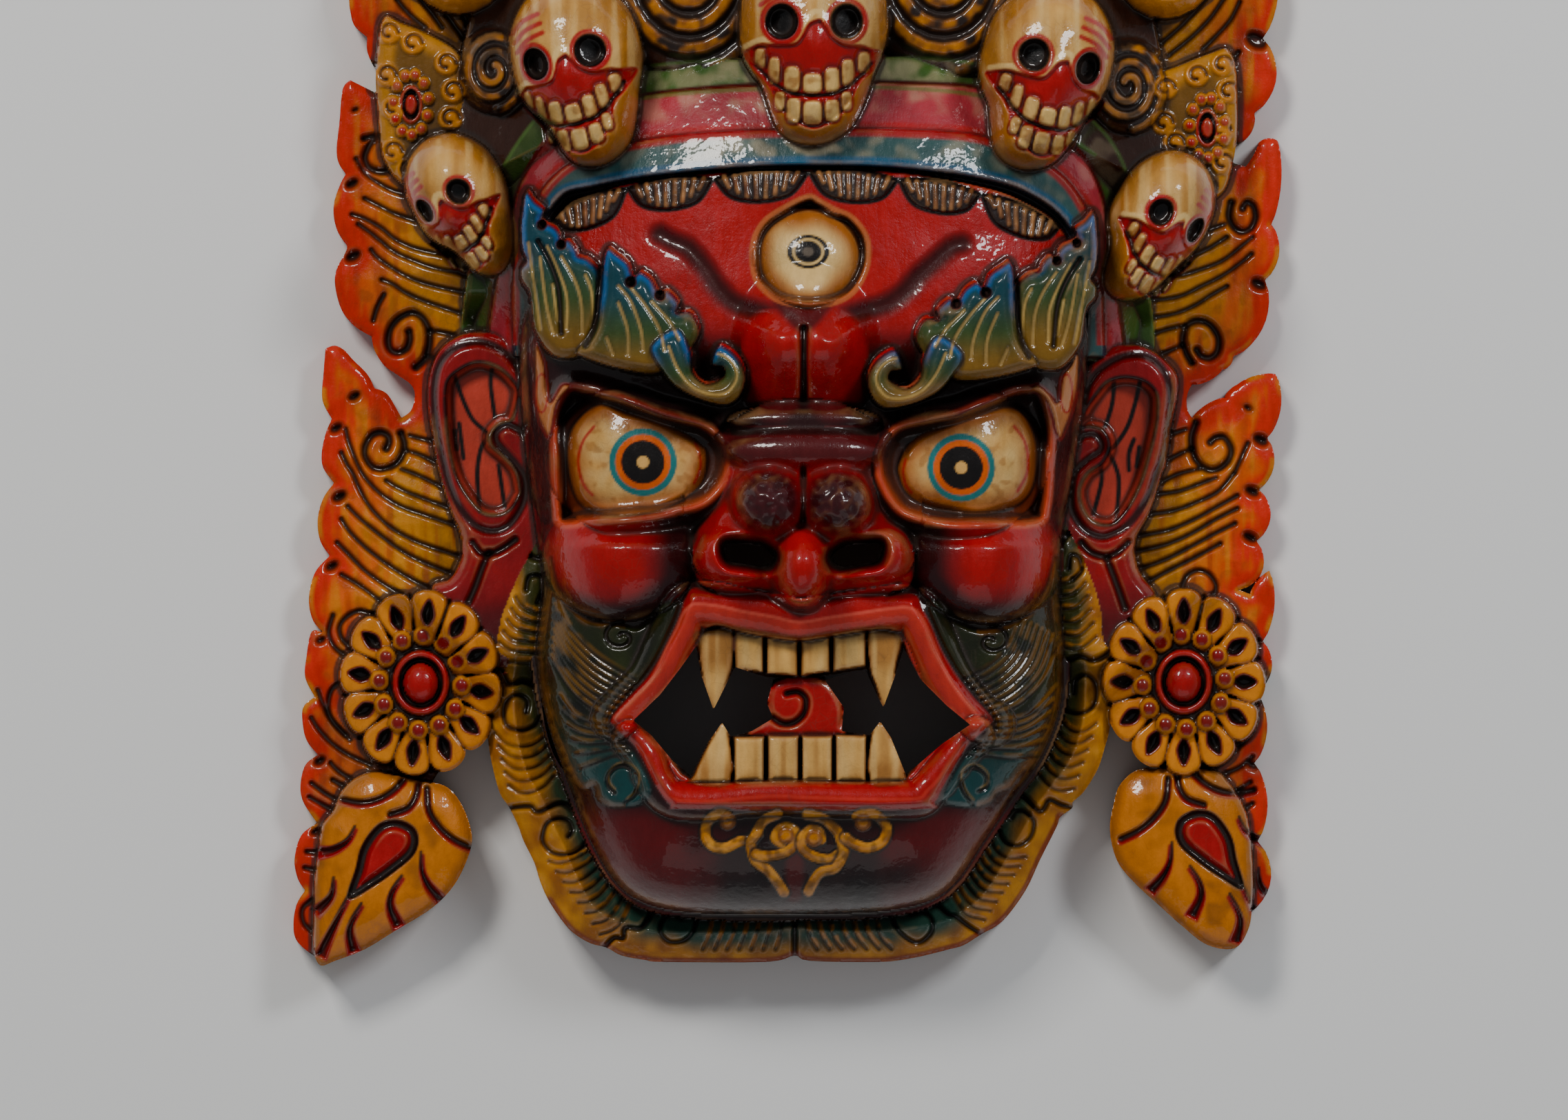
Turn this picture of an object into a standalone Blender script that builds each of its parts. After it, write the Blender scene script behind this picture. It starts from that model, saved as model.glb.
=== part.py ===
"""A carved wooden wall mask of a wrathful guardian, lying on its back.

The mask is one piece of wood.  Its front is a relief, so it is worked out as a height over
the front elevation and joined to a back that is flat at the rim and hollow behind the face.
The layout is drawn as the mask looks from in front at VIEW_DISTANCE: u runs to the viewer's
right and v towards the crown, in millimetres on a mask LAYOUT_HEIGHT tall.
"""

import bpy
import numpy as np

# Driving sizes in millimetres
HEIGHT = 661.0
DEPTH = 150.0
BOARD = 22.0
WALL = 15.0
RIM = 20.0
HAIR_LINE = 3.4
EYE_RISE = 15.0
VIEW_DISTANCE = 2500.0

# Size of the layout that the outlines below are drawn at
LAYOUT_HEIGHT = 661.0
LAYOUT_DEPTH = 150.0
LAYOUT_BOARD = 22.0
U_RANGE = (-240.0, 242.0)
V_RANGE = (-198.0, 480.0)

# Fineness of the carved surface
PITCH = 2.4
TRIANGLES = 9300
MM = 0.001

# The face's middle line leans a little to the right towards the crown
MIDDLE_U = 7.9
MIDDLE_V = -58.0
LEAN = 0.0185
SKEW = 0.00016


def middle(v):
    """Where the face's middle line stands at height v."""
    return MIDDLE_U + LEAN * (v - MIDDLE_V)


def other_side(points):
    """The same points on the mask's right half."""
    mirrored = []
    for u, v in points:
        offset = u - middle(v)
        mirrored.append((middle(v) - offset, v + 2 * offset * SKEW * max(v - MIDDLE_V, 0)))
    return mirrored[::-1]


def smoothstep(low, high, x):
    t = np.clip((x - low) / (high - low), 0.0, 1.0)
    return t * t * (3 - 2 * t)


def curve(points, closed=False, steps=5):
    """A smooth line through the points."""
    p = np.asarray(points, float)
    count = len(p)
    line = []
    for i in range(count if closed else count - 1):
        if closed:
            a, b, c, d = (p[(i + k) % count] for k in (-1, 0, 1, 2))
        else:
            a, b, c, d = (p[min(max(i + k, 0), count - 1)] for k in (-1, 0, 1, 2))
        for k in range(steps):
            t = k / steps
            line.append(0.5 * (2 * b + (c - a) * t + (2 * a - 5 * b + 4 * c - d) * t ** 2
                               + (3 * b - a - 3 * c + d) * t ** 3))
    if not closed:
        line.append(p[-1])
    return np.array(line)


def lobes(start, ends, steps=7):
    """A scalloped edge: from each point to the next, an arc that swells out by its share."""
    line = []
    a = np.array(start, float)
    for u, v, swell in ends:
        b = np.array((u, v), float)
        run = b - a
        out = np.array((run[1], -run[0])) * swell
        for k in range(steps):
            t = k / steps
            line.append(a + run * t + out * np.sin(np.pi * t) ** 0.7)
        a = b
    line.append(a)
    return line


def spiral(centre, radius, turns, start, aspect=1.0, inner=0.15, steps=16):
    """A scroll that winds in from radius, starting at an angle in degrees."""
    line = []
    for k in range(int(abs(turns) * steps) + 1):
        t = k / (abs(turns) * steps)
        angle = np.radians(start) + 2 * np.pi * turns * t
        r = radius * (1 - (1 - inner) * t)
        line.append((centre[0] + r * np.cos(angle), centre[1] + r * np.sin(angle) * aspect))
    return line


class Relief:
    """The mask's front as a height over the elevation, and how far each point lies inside."""

    def __init__(self):
        self.us = np.arange(U_RANGE[0], U_RANGE[1] + PITCH, PITCH)
        self.vs = np.arange(V_RANGE[0], V_RANGE[1] + PITCH, PITCH)
        self.u, self.v = np.meshgrid(self.us, self.vs)
        self.z = np.zeros_like(self.u)
        self.inside = np.full_like(self.u, -30.0)

    def window(self, points, margin):
        low = np.min(points, axis=0) - margin
        high = np.max(points, axis=0) + margin
        i = np.searchsorted(self.us, (low[0], high[0]))
        j = np.searchsorted(self.vs, (low[1], high[1]))
        return slice(j[0], j[1]), slice(i[0], i[1])

    def line_distance(self, line, box):
        u, v = self.u[box], self.v[box]
        best = np.full(u.shape, 1e9)
        for a, b in zip(line[:-1], line[1:]):
            du, dv = b[0] - a[0], b[1] - a[1]
            t = np.clip(((u - a[0]) * du + (v - a[1]) * dv) / max(du * du + dv * dv, 1e-9), 0, 1)
            best = np.minimum(best, (u - a[0] - t * du) ** 2 + (v - a[1] - t * dv) ** 2)
        return np.sqrt(best)

    def depth_inside(self, outline, box):
        """Distance to the outline, positive inside it."""
        u, v = self.u[box], self.v[box]
        ring = list(outline) + [outline[0]]
        odd = np.zeros(u.shape, bool)
        for a, b in zip(ring[:-1], ring[1:]):
            if a[1] != b[1]:
                crosses = (a[1] > v) != (b[1] > v)
                odd ^= crosses & (u < (b[0] - a[0]) * (v - a[1]) / (b[1] - a[1]) + a[0])
        return np.where(odd, 1.0, -1.0) * self.line_distance(ring, box)

    def plate(self, outline, top, edge=4.0, hard=True):
        """Raise what the outline holds to top, with a rounded edge."""
        outline = np.asarray(outline, float)
        box = self.window(outline, 3 * PITCH)
        d = self.depth_inside(outline, box)
        level = top(self.u[box], self.v[box], d) if callable(top) else top
        bend = np.clip(1 - d / edge, 0, 1)
        level = level - edge * (1 - np.sqrt(1 - bend ** 2))
        share = smoothstep(-0.6 * PITCH, 0.6 * PITCH, d)
        if hard:
            share = np.where(self.inside[box] < 0, (d > -2.5 * PITCH) * 1.0, share)
            self.inside[box] = np.maximum(self.inside[box], d)
        self.z[box] += share * np.maximum(level - self.z[box], 0)
        return box, d

    def dome(self, centre, radii, turn, rise, base=None):
        """Swell an ellipse by rise above base, or above what is there."""
        reach = max(radii)
        box = self.window([(centre[0] - reach, centre[1] - reach), (centre[0] + reach, centre[1] + reach)], PITCH)
        u, v = self.u[box] - centre[0], self.v[box] - centre[1]
        c, s = np.cos(np.radians(turn)), np.sin(np.radians(turn))
        q = ((u * c + v * s) / radii[0]) ** 2 + ((v * c - u * s) / radii[1]) ** 2
        swell = rise * np.sqrt(np.clip(1 - q, 0, 1))
        if base is None:
            self.z[box] += swell
        else:
            self.z[box] = np.where(q < 1, np.maximum(self.z[box], base + swell), self.z[box])

    def sink(self, outline, depth, slope):
        """Lower what the outline holds by depth, down a bank slope wide."""
        outline = np.asarray(outline, float)
        box = self.window(outline, PITCH)
        self.z[box] -= depth * smoothstep(0, slope, self.depth_inside(outline, box))

    def groove(self, points, width, depth):
        line = np.asarray(points, float)
        box = self.window(line, width)
        d = self.line_distance(line, box)
        self.z[box] -= depth * smoothstep(width, 0.2 * width, d)

    def ridge(self, points, width, rise):
        line = np.asarray(points, float)
        box = self.window(line, width)
        d = self.line_distance(line, box)
        self.z[box] += rise * np.sqrt(np.clip(1 - (d / width) ** 2, 0, 1))

    def pierce(self, outline):
        """Cut the outline right through."""
        outline = np.asarray(outline, float)
        box = self.window(outline, 3 * PITCH)
        self.inside[box] = np.minimum(self.inside[box], -self.depth_inside(outline, box))


def head(u, v):
    """The round of the head under the headband, hair and forehead."""
    q = ((u - middle(v)) / 160) ** 2 + ((v - 95) / 178) ** 2
    return 40 + 76 * np.sqrt(np.clip(1 - q, 0, 1))


# Flame boards: the scalloped outer edges, then the inner sides that the head covers
LEFT_EDGE = lobes((-214, -188), [
    (-225, -181, -0.1), (-225, -153, -0.16), (-218, -127, -0.2), (-218, -95, -0.24),
    (-220, -64, -0.17), (-222, -34, -0.05), (-211, -38, 0), (-212, -2, -0.2), (-208, 31, -0.22),
    (-210, 62, -0.2), (-214.5, 99.5, -0.06), (-199, 85, 0), (-184, 77, -0.12), (-178, 67, 0),
    (-173, 77, 0.1), (-178, 86, 0.1), (-193, 107, -0.3), (-201, 144, -0.22), (-203, 180, -0.18),
    (-203, 224.5, -0.06), (-191, 216, 0), (-188, 227, 0), (-195, 240, 0), (-200, 290, -0.14),
    (-186, 332, -0.18), (-160, 368, -0.18), (-122, 400, -0.2), (-78, 428, -0.2),
    (-30, 450, -0.2), (13, 471, -0.1)])
RIGHT_EDGE = lobes((13, 471), [
    (56, 450, -0.1), (104, 428, -0.2), (148, 400, -0.2), (186, 368, -0.2), (212, 332, -0.18),
    (226, 290, -0.18), (224, 244, -0.14), (220, 209, -0.24), (212, 194, -0.12), (209, 183, 0),
    (216, 185, 0), (231, 196, -0.2), (228, 157, -0.08), (225, 131, -0.2), (212, 93, -0.2),
    (191, 81, -0.1), (192, 66.5, 0.3), (208, 77, -0.1), (230, 87, -0.1), (226, 57, -0.15),
    (222, 33, -0.22), (221, 9, -0.26), (213, -14, -0.3), (218, -16, 0), (227, -5, -0.1),
    (224, -38, -0.12), (221, -62, -0.24), (220, -95, -0.17), (221.5, -131.5, -0.15),
    (216, -166, -0.26)])
BOARD_FOOT = [(190, -120), (140, -40), (100, 60), (-80, 60), (-130, -50), (-175, -120)]
TILE_LEFT = [(-187, 254), (-170, 248), (-153, 238), (-147, 222), (-149, 204), (-165, 180),
             (-176, 175), (-186, 184), (-190, 210)]
TILE_RIGHT = [(172, 226), (183, 232), (200, 238), (209, 237), (211, 215), (212, 195), (207, 178),
              (197, 168), (184, 178), (173, 195), (170, 210)]
GREEN_EDGE = [(-152, 95), (-150, 120), (-146, 145), (-137, 172), (-124, 196), (-108, 214), (-85, 226),
              (-50, 232.5), (14, 235.5), (60, 235), (95, 231), (122, 220), (146, 204), (160, 182),
              (166, 150), (172, 120), (174, 92)]
RED_EDGE = [(-142, 95), (-138, 130), (-131, 165), (-125, 184), (-110, 203), (-85, 212.5), (-50, 218.5),
            (14, 221), (60, 222), (95, 219), (122, 209), (142, 194), (153, 172), (158, 140), (163, 95)]
BLUE_EDGE = [(-126, 95), (-127, 130), (-122, 155), (-110, 177), (-90, 190), (-50, 197.5), (10, 200),
             (60, 199.5), (95, 196.5), (125, 184), (141, 165), (148, 140), (150, 95)]
DARK_EDGE = [(-118, 95), (-118, 145), (-106, 167.5), (-90, 175), (-60, 182), (-10, 186.5), (40, 186.5),
             (70, 184), (90, 180.5), (112, 173), (132, 158), (142, 135), (142, 95)]
BROW_EDGE = [(-116, 72), (-115, 140), (-104, 163.5), (-90, 170.5), (-60, 177.5), (-10, 182), (50, 181),
             (90, 174.5), (112, 167), (130, 154), (138, 130), (137, 72)]
CUSPS = [(-112, 158), (-74, 173.5), (-33, 178), (11, 182), (53, 179), (92, 173), (131, 156)]
EAR = [(-143, 107), (-154, 103), (-162, 96), (-166, 86), (-166.5, 74), (-163, 55), (-158, 34), (-152, 15),
       (-151, 3), (-157, -9), (-167, -14), (-160, -30), (-138, -50), (-116, -44), (-110, -8), (-108, 40),
       (-108, 80), (-121, 94), (-131, 104)]
EAR_HOLLOW = [(-142, 92), (-152, 88), (-158, 78), (-158, 60), (-152, 38), (-144, 24), (-135, 20),
              (-126, 27), (-124, 38), (-133, 48), (-137, 58), (-132, 67), (-124, 76), (-127, 86)]
FACE = [(-124, 95), (-120, 130), (-106, 165), (-60, 178), (11, 182), (60, 180), (112, 168), (138, 140),
        (142, 95), (137, 50), (131, 15), (129, -10), (131, -45), (129, -70), (120, -93), (108, -110),
        (94, -131), (76, -155), (50, -164), (5, -166), (-45, -165), (-72, -157), (-88, -136), (-101, -104),
        (-111, -75), (-116, -45), (-113, -12), (-116, 12), (-121, 50)]
RING = [(-109, 22), (-119, 8), (-130, -20), (-137, -46), (-139.5, -70), (-136, -100), (-129, -115),
        (-121, -130), (-112, -155), (-98, -174), (-83, -181.5), (-60, -186.5), (-25, -188), (5, -187),
        (45, -187.5), (70, -185.5), (92, -176.5), (108, -163), (120, -139), (129, -120), (135, -114),
        (147, -94), (153, -66), (150, -38), (143, -5), (133, 16), (125, 29), (126, 5), (128, -40),
        (118, -88), (96, -124), (70, -150), (5, -158), (-66, -151), (-90, -124), (-104, -88), (-112, -40),
        (-109, 0)]
RING_JOINTS = [((-121, 5), (-108, 0)), ((-139, -49), (-113, -50)), ((-128, -116), (-96, -113)),
               ((-84, -181), (-64, -158)), ((5, -190), (5, -160)), ((91, -178), (72, -156)),
               ((134, -112), (108, -108)), ((151, -43), (130, -50)), ((136, 14), (128, 4))]
RING_SCROLLS = [((-122, -69), 9), ((-104.5, -129), 8), ((-50, -172), 7.5), ((61.5, -171), 7.5),
                ((109, -125.5), 8), ((139, -62), 8)]
PENDANT_LEFT = [(-190, -99), (-207, -106), (-216, -124), (-220, -150), (-220, -184), (-216, -189.5),
                (-196, -181), (-165, -163), (-150, -147), (-146, -132), (-150, -115), (-158, -102)]
PENDANT_RIGHT = [(200, -98), (210, -107), (217, -122), (219.5, -148), (217.5, -172), (211, -181.5),
                 (198, -180), (176, -162), (156, -141), (152.5, -127), (158, -104), (170, -95)]
EYE_SOCKET = [(-102, 79.5), (-92, 79.5), (-75, 73), (-55, 67.5), (-39, 63.5), (-30, 55), (-27, 46),
              (-30, 36), (-38, 28), (-55, 22.5), (-80, 19.5), (-101, 17.5), (-107, 27), (-107, 50),
              (-107, 66)]
BROW_LEAVES = [
    [(-122, 170), (-113, 158), (-103, 147), (-88, 135), (-86, 115), (-92, 100), (-108, 97), (-118, 106),
     (-122, 125), (-121, 145)],
    [(-84, 145), (-74, 134), (-60, 122), (-48, 116), (-44, 100), (-56, 86), (-78, 89), (-94, 94), (-90, 106),
     (-86, 120)],
    [(-60, 118), (-44, 114), (-40, 106), (-44, 92), (-36, 80), (-28, 88), (-33, 97), (-26, 100),
     (-18, 90), (-20, 78), (-30, 73), (-45, 76), (-58, 88), (-66, 104)]]
UPPER_LIP = [(-80, -73), (-62, -56), (-50, -36), (-42, -22), (-20, -25), (6, -31), (30, -28), (58, -24),
             (68, -36), (78, -55), (95, -74)]
LOWER_LIP = [(-80, -74), (-66, -92), (-52, -107), (-30, -109), (6, -107), (45, -109), (64, -107), (80, -92),
             (95, -75)]
MOUTH = [(-76, -74), (-56, -55), (-42, -34), (-20, -29), (6, -34), (34, -31), (54, -33), (70, -55),
         (90, -75), (72, -90), (60, -103), (45, -106), (6, -104), (-30, -106), (-47, -103), (-62, -90)]
MOUTH_LEFT = [(-41, -40), (-39, -53), (-33, -70), (-27, -58), (-23, -50), (-5, -56), (-8, -67),
              (-5, -74), (-15, -80), (-25, -82.5), (-29, -76), (-36, -86), (-43.5, -101), (-52, -94),
              (-62, -82), (-70.5, -75), (-58, -63), (-48, -50)]
MOUTH_RIGHT = [(56, -41), (64, -56), (76, -68), (87, -77), (74, -86), (57, -100.5), (50, -83), (45, -75.5),
               (40, -82), (27, -80), (28, -69), (19, -56), (38, -51), (43, -62), (46.5, -69), (52, -54)]
TEETH = [[(-39, -30), (-24, -32), (-25, -50), (-32, -70), (-39, -52)],
         [(-24, -32), (39, -32), (39, -51), (8, -56), (-24, -50)],
         [(39, -32), (56, -38), (52, -54), (46.5, -69), (40, -52)],
         [(-43, -102), (-25, -104), (-25, -83), (-29, -75.5), (-36, -86)],
         [(-25, -104), (40, -104), (40, -82), (-25, -83)],
         [(40, -104), (57, -101), (50, -83), (45, -75), (40, -82)]]
TOOTH_GAPS = [[(-9, -34), (-9, -55)], [(7, -36), (7, -57)], [(22, -35), (22, -55)],
              [(-8.5, -85), (-8.5, -103)], [(7.5, -85), (7.5, -104)], [(23, -85), (23, -104)]]
TONGUE = [(-6, -57), (-8, -67), (-5, -74), (-16, -81), (27, -82), (28, -69), (18, -56)]
NOSTRIL = [(-27, 7), (-19, 7.5), (-10, 6), (-5, 1), (-9, -3), (-18, -2), (-26, 0)]
SKULLS = [((-149, 166), (23, 36), 30, 92), ((-95, 228), (31, 45), 14, 124), ((14, 242), (35.5, 49), 0, 138),
          ((121, 226), (31, 45), -14, 124), ((173, 156), (23, 38), -28, 92)]
CURLS = [((-136, 226), 19, 0.75), ((160, 220), 19, 0.7), ((-45, 272), 38, 1.0), ((74, 272), 38, 1.0),
         ((-96, 292), 30, 0.9), ((122, 290), 30, 0.9), ((-45, 340), 30, 1.0), ((72, 340), 30, 1.0)]
GOLD_SCROLLS = [((-152, 288), 28, 1.2), ((178, 286), 28, -1.2)]
CREST = [(14, 300), (40, 330), (50, 362), (36, 395), (20, 415), (14, 440), (8, 415), (-10, 395),
         (-24, 362), (-14, 330)]
ROSETTES = [((-170, -57.5), 83), ((187, -57), 90)]


def boards(relief):
    """The flame boards, their long cut strokes and the gold corner tiles."""
    outline = LEFT_EDGE[:-1] + RIGHT_EDGE + BOARD_FOOT
    relief.plate(outline, lambda u, v, d: 17 + 9 * smoothstep(0, 60, d), edge=5)
    for side in (-1, 1):
        for k in range(15):
            foot = -20 + 15.5 * k
            inner = (middle(foot) + side * 152, foot)
            outer = (middle(foot) + side * 203, foot + 34 * np.sign(foot + 60))
            bend = (0.5 * (inner[0] + outer[0]), 0.5 * (inner[1] + outer[1]) - 6)
            relief.groove(curve([inner, bend, outer]), HAIR_LINE, 3.0)
        for k in range(9):
            fan = np.radians(90 - side * (14 + 9.5 * k))
            near, far = 205.0, 330.0 - 8 * k
            relief.groove([(middle(100) + r * np.cos(fan), 100 + r * np.sin(fan)) for r in (near, far)],
                          HAIR_LINE, 3.0)
    for centre in ((-181, 103), (-188, 52), (194, 103), (201, 51), (-200, -32), (193, -14)):
        relief.groove(spiral(centre, 10, 1.2, 60), HAIR_LINE, 3.0)
    for tile in (TILE_LEFT, TILE_RIGHT):
        relief.plate(curve(tile, True), 40, edge=7)
        middle_of_tile = np.mean(tile, axis=0)
        relief.groove(spiral(middle_of_tile, 11, 1, 0, 1.4, 1.0), HAIR_LINE, 3.0)


def crown(relief):
    """Hair curls, gold scrolls and the crest above the headband."""
    relief.plate(curve([(-150, 150), (-152, 230), (-128, 300), (-70, 372), (14, 402), (98, 372),
                        (156, 300), (178, 225), (174, 150)], True),
                 lambda u, v, d: 40 + 34 * smoothstep(0, 60, d) * smoothstep(420, 250, v), edge=8)
    for centre, radius, aspect in CURLS:
        relief.dome(centre, (radius, radius * 1.25), 0, 14)
        relief.groove(spiral(centre, radius, 2.2, -90, 1.2 / max(aspect, 0.8)), 4.5, 6)
    for centre, radius, turn in GOLD_SCROLLS:
        relief.plate(spiral(centre, radius, 1, 0, 1.25, 1.0), 66, edge=9)
        relief.groove(spiral(centre, radius * 0.7, turn, -60, 1.2), 4, 5)
    relief.plate(curve(CREST, True), 84, edge=16)
    relief.groove(curve([(14, 312), (30, 345), (14, 392), (-2, 345), (14, 312)]), 4, 5)


def headband(relief):
    """Three bands that step forward towards the forehead, and a fringe of scallops."""
    steps = ((GREEN_EDGE, 0), (RED_EDGE, 3), (BLUE_EDGE, 6))
    for edge, lift in steps:
        relief.plate(curve(edge),
                     lambda u, v, d, lift=lift: head(u, v) + lift - 34 * smoothstep(150, 100, v), edge=3)
    relief.sink(curve(DARK_EDGE), 14, 3)


def ears(relief):
    for ear, hollow in ((EAR, EAR_HOLLOW), (other_side(EAR), other_side(EAR_HOLLOW))):
        relief.plate(curve(ear, True), 48, edge=6)
        relief.sink(curve(hollow, True), 9, 5)


def face(relief):
    """The face's own round, and what swells out of it."""
    relief.plate(curve(FACE, True),
                 lambda u, v, d: 50 + 46 * np.sqrt(1 - (1 - np.clip(d / 48, 0, 1)) ** 2), edge=2)
    brow = curve(BROW_EDGE)
    box = relief.window(brow, PITCH)
    u, v = relief.u[box], relief.v[box]
    rise = head(u, v) - 2 * smoothstep(180, 150, v) - relief.z[box]
    share = smoothstep(-1.4, 1.4, relief.depth_inside(brow, box)) * smoothstep(70, 108, v)
    relief.z[box] += share * np.maximum(rise, 0)
    for a, b in zip(CUSPS[:-1], CUSPS[1:]):
        low = (0.5 * (a[0] + b[0]), 0.5 * (a[1] + b[1]) - 12)
        relief.groove(curve([a, low, b]), 3.2, 3.5)
    relief.dome((10, 100), (34, 38), 0, 18)
    relief.groove([(9.5, 106), (9.5, 73)], 3.5, 6)
    relief.sink(spiral((11, 143), 27, 1, 0, 0.95, 1.0), 12, 4)
    relief.dome((11, 143), (23, 22), 0, EYE_RISE)
    for centre in ((-77, 0), (95, -2)):
        relief.dome(centre, (36, 30), 0, 24)


def eyes(relief):
    for socket, ball in ((EYE_SOCKET, (-66, 45)), (other_side(EYE_SOCKET), (83, 42))):
        relief.ridge(curve(socket, True), 8, 5)
        relief.sink(curve(socket, True), 16, 6)
        relief.dome(ball, (37, 27), 0, EYE_RISE)


def brows(relief):
    for leaves in (BROW_LEAVES, [other_side(leaf) for leaf in BROW_LEAVES]):
        for k, leaf in enumerate(leaves):
            level = 112 + 7 * k
            relief.plate(curve(leaf, True), lambda u, v, d, level=level: level + 0 * u, edge=7)
            relief.groove([leaf[0], np.mean(leaf, axis=0)], HAIR_LINE, 2.5)


def nose(relief):
    relief.dome((9, 65), (36, 9), 0, 12, 112)
    relief.dome((10, 44), (36, 20), 0, 18, 112)
    for side, bulb, wing in ((-1, (-7, 27), (-20, 1)), (1, (25.5, 26.5), (38, 1))):
        relief.dome(wing, (23, 17), 0, 32, 102)
        relief.dome(bulb, (19, 17), 0, 28, 118)
        opening = NOSTRIL if side < 0 else other_side(NOSTRIL)
        relief.sink(curve(opening, True), 22, 5)
        relief.pierce(curve(opening, True))
    relief.dome((9, -2), (15, 21), 0, 32, 114)


def mouth(relief):
    relief.ridge(curve(UPPER_LIP), 10, 13)
    relief.ridge(curve(LOWER_LIP), 9, 13)
    relief.sink(curve(MOUTH, True), 24, 5)
    for tooth in TEETH:
        relief.plate(tooth, 98, edge=5, hard=False)
    for gap in TOOTH_GAPS:
        relief.groove(gap, 2.8, 6)
    relief.plate(curve(TONGUE, True), 92, edge=5, hard=False)
    relief.groove(spiral((2, -67), 10, 1.2, -100), 3.2, 6)
    for hole in (MOUTH_LEFT, MOUTH_RIGHT):
        relief.pierce(hole)


def cheeks(relief):
    """Combed strokes of the moustache and the two chin scrolls."""
    for side in (-1, 1):
        for k in range(8):
            inner = (7.9 + side * (76 + 1.5 * k), -50 - 6 * k)
            outer = (7.9 + side * (112 - 0.8 * k), -8 - 10 * k)
            bend = (7.9 + side * (100 - k), -34 - 8 * k)
            relief.groove(curve([inner, bend, outer]), HAIR_LINE, 3.0)
        relief.ridge(curve([(7.9 + side * 42, -122), (7.9 + side * 30, -134), (7.9 + side * 16, -130),
                            (7.9 + side * 8, -150)]), 3.5, 3)
    relief.groove(spiral((-76, -103), 8, 1.2, 100), HAIR_LINE, 3)
    relief.groove(spiral((88, -103), 8, -1.2, 80), HAIR_LINE, 3)


def beard(relief):
    """The ring of beard scrolls round the jaw, with its seams, scrolls and combed strokes."""
    relief.plate(curve(RING, True), lambda u, v, d: 34 + 16 * smoothstep(0, 26, d), edge=6)
    for joint in RING_JOINTS:
        relief.groove(joint, 3.2, 7)
    for centre, radius in RING_SCROLLS:
        relief.groove(spiral(centre, radius, 1.2, 90), 3.2, 4)
    middle_ring = curve([(-124, -20), (-126, -85), (-108, -145), (-80, -167), (-35, -174), (35, -174),
                         (85, -165), (116, -140), (136, -90), (141, -15)], steps=8)
    for k in range(2, len(middle_ring) - 2, 2):
        run = middle_ring[k + 1] - middle_ring[k - 1]
        across = np.array((-run[1], run[0])) / np.hypot(*run) * 8
        relief.groove([middle_ring[k] - across, middle_ring[k] + across], HAIR_LINE, 2.5)


def ear_ornaments(relief):
    """Rosettes below the ears, each with a leaf that hangs from it."""
    for leaf, drop in ((PENDANT_LEFT, (-189, -137)), (PENDANT_RIGHT, (193, -133))):
        relief.plate(curve(leaf, True), 38, edge=7)
        lean = 12 if drop[0] < 0 else -12
        relief.groove(spiral(drop, 12, 1, 0, 1.5, 1.0), HAIR_LINE, 3.5)
        for k in range(3):
            for side in (-1, 1):
                root = (drop[0] + side * 12 - lean * 0.4 * k, drop[1] + 18 - 20 * k)
                tip = (drop[0] + side * 28 - lean * 0.8 * k, drop[1] + 8 - 22 * k)
                relief.groove([root, tip], HAIR_LINE, 4)
    for centre, start in ROSETTES:
        relief.plate(spiral(centre, 37, 1, 0, 1.0, 1.0), 40, edge=8)
        for k in range(12):
            angle = np.radians(start + 30 * k)
            far = (centre[0] + 33 * np.cos(angle), centre[1] + 33 * np.sin(angle))
            near = (centre[0] + 27 * np.cos(angle), centre[1] + 27 * np.sin(angle))
            relief.groove([near, far], 5, 5)
        for k in range(12):
            angle = np.radians(1 + 30 * k)
            bead = (centre[0] + 20 * np.cos(angle), centre[1] + 20 * np.sin(angle))
            relief.dome(bead, (4.8, 4.8), 0, 5, 41)
        relief.groove(spiral(centre, 11, 1, 0, 1.1, 1.0), 3.5, 6)
        relief.dome(centre, (8, 8), 0, 6, 40)


def skulls(relief):
    """Five skulls on the headband: eye sockets, nose, and a grin of teeth."""
    for (cu, cv), (wide, tall), turn, top in SKULLS:
        c, s = np.cos(np.radians(turn)), np.sin(np.radians(turn))

        def at(a, b):
            a, b = a * wide, b * tall
            return (cu + a * c - b * s, cv + a * s + b * c)

        outline = [at(x, y) for x, y in
                   ((0, 1), (0.55, 0.88), (0.92, 0.55), (1, 0.15), (0.86, -0.2), (0.72, -0.6), (0.4, -0.93),
                    (0, -1), (-0.4, -0.93), (-0.72, -0.6), (-0.86, -0.2), (-1, 0.15), (-0.92, 0.55),
                    (-0.55, 0.88))]
        relief.plate(curve(outline, True),
                     lambda u, v, d: top - 20 + 20 * np.sqrt(1 - (1 - np.clip(d / wide, 0, 1)) ** 2),
                     edge=wide * 0.5)
        for x in (-0.42, 0.42):
            socket = [at(x + 0.25 * np.cos(t), 0.22 + 0.17 * np.sin(t)) for t in np.linspace(0, 2 * np.pi, 13)]
            relief.sink(socket, 9, 4)
        relief.ridge([at(0, 0.2), at(0, -0.15)], wide * 0.28, 5)
        relief.groove(curve([at(-0.72, -0.12), at(-0.4, -0.42), at(0, -0.52), at(0.4, -0.42), at(0.72, -0.12)]),
                      2.8, 4)
        for x in (-0.36, -0.12, 0.12, 0.36):
            relief.groove([at(x * 1.1, -0.32), at(x * 0.9, -0.76)], 2.4, 2.5)


def least_nearby(z, reach):
    """The lowest height within reach points of each point."""
    for axis in (0, 1):
        low = z.copy()
        for k in range(1, reach + 1):
            low = np.minimum(low, np.minimum(np.roll(z, k, axis), np.roll(z, -k, axis)))
        z = low
    return z


def softened(z, rounds):
    for _ in range(rounds):
        z = (z + np.roll(z, 1, 0) + np.roll(z, -1, 0) + np.roll(z, 1, 1) + np.roll(z, -1, 1)) / 5
    return z


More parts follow.
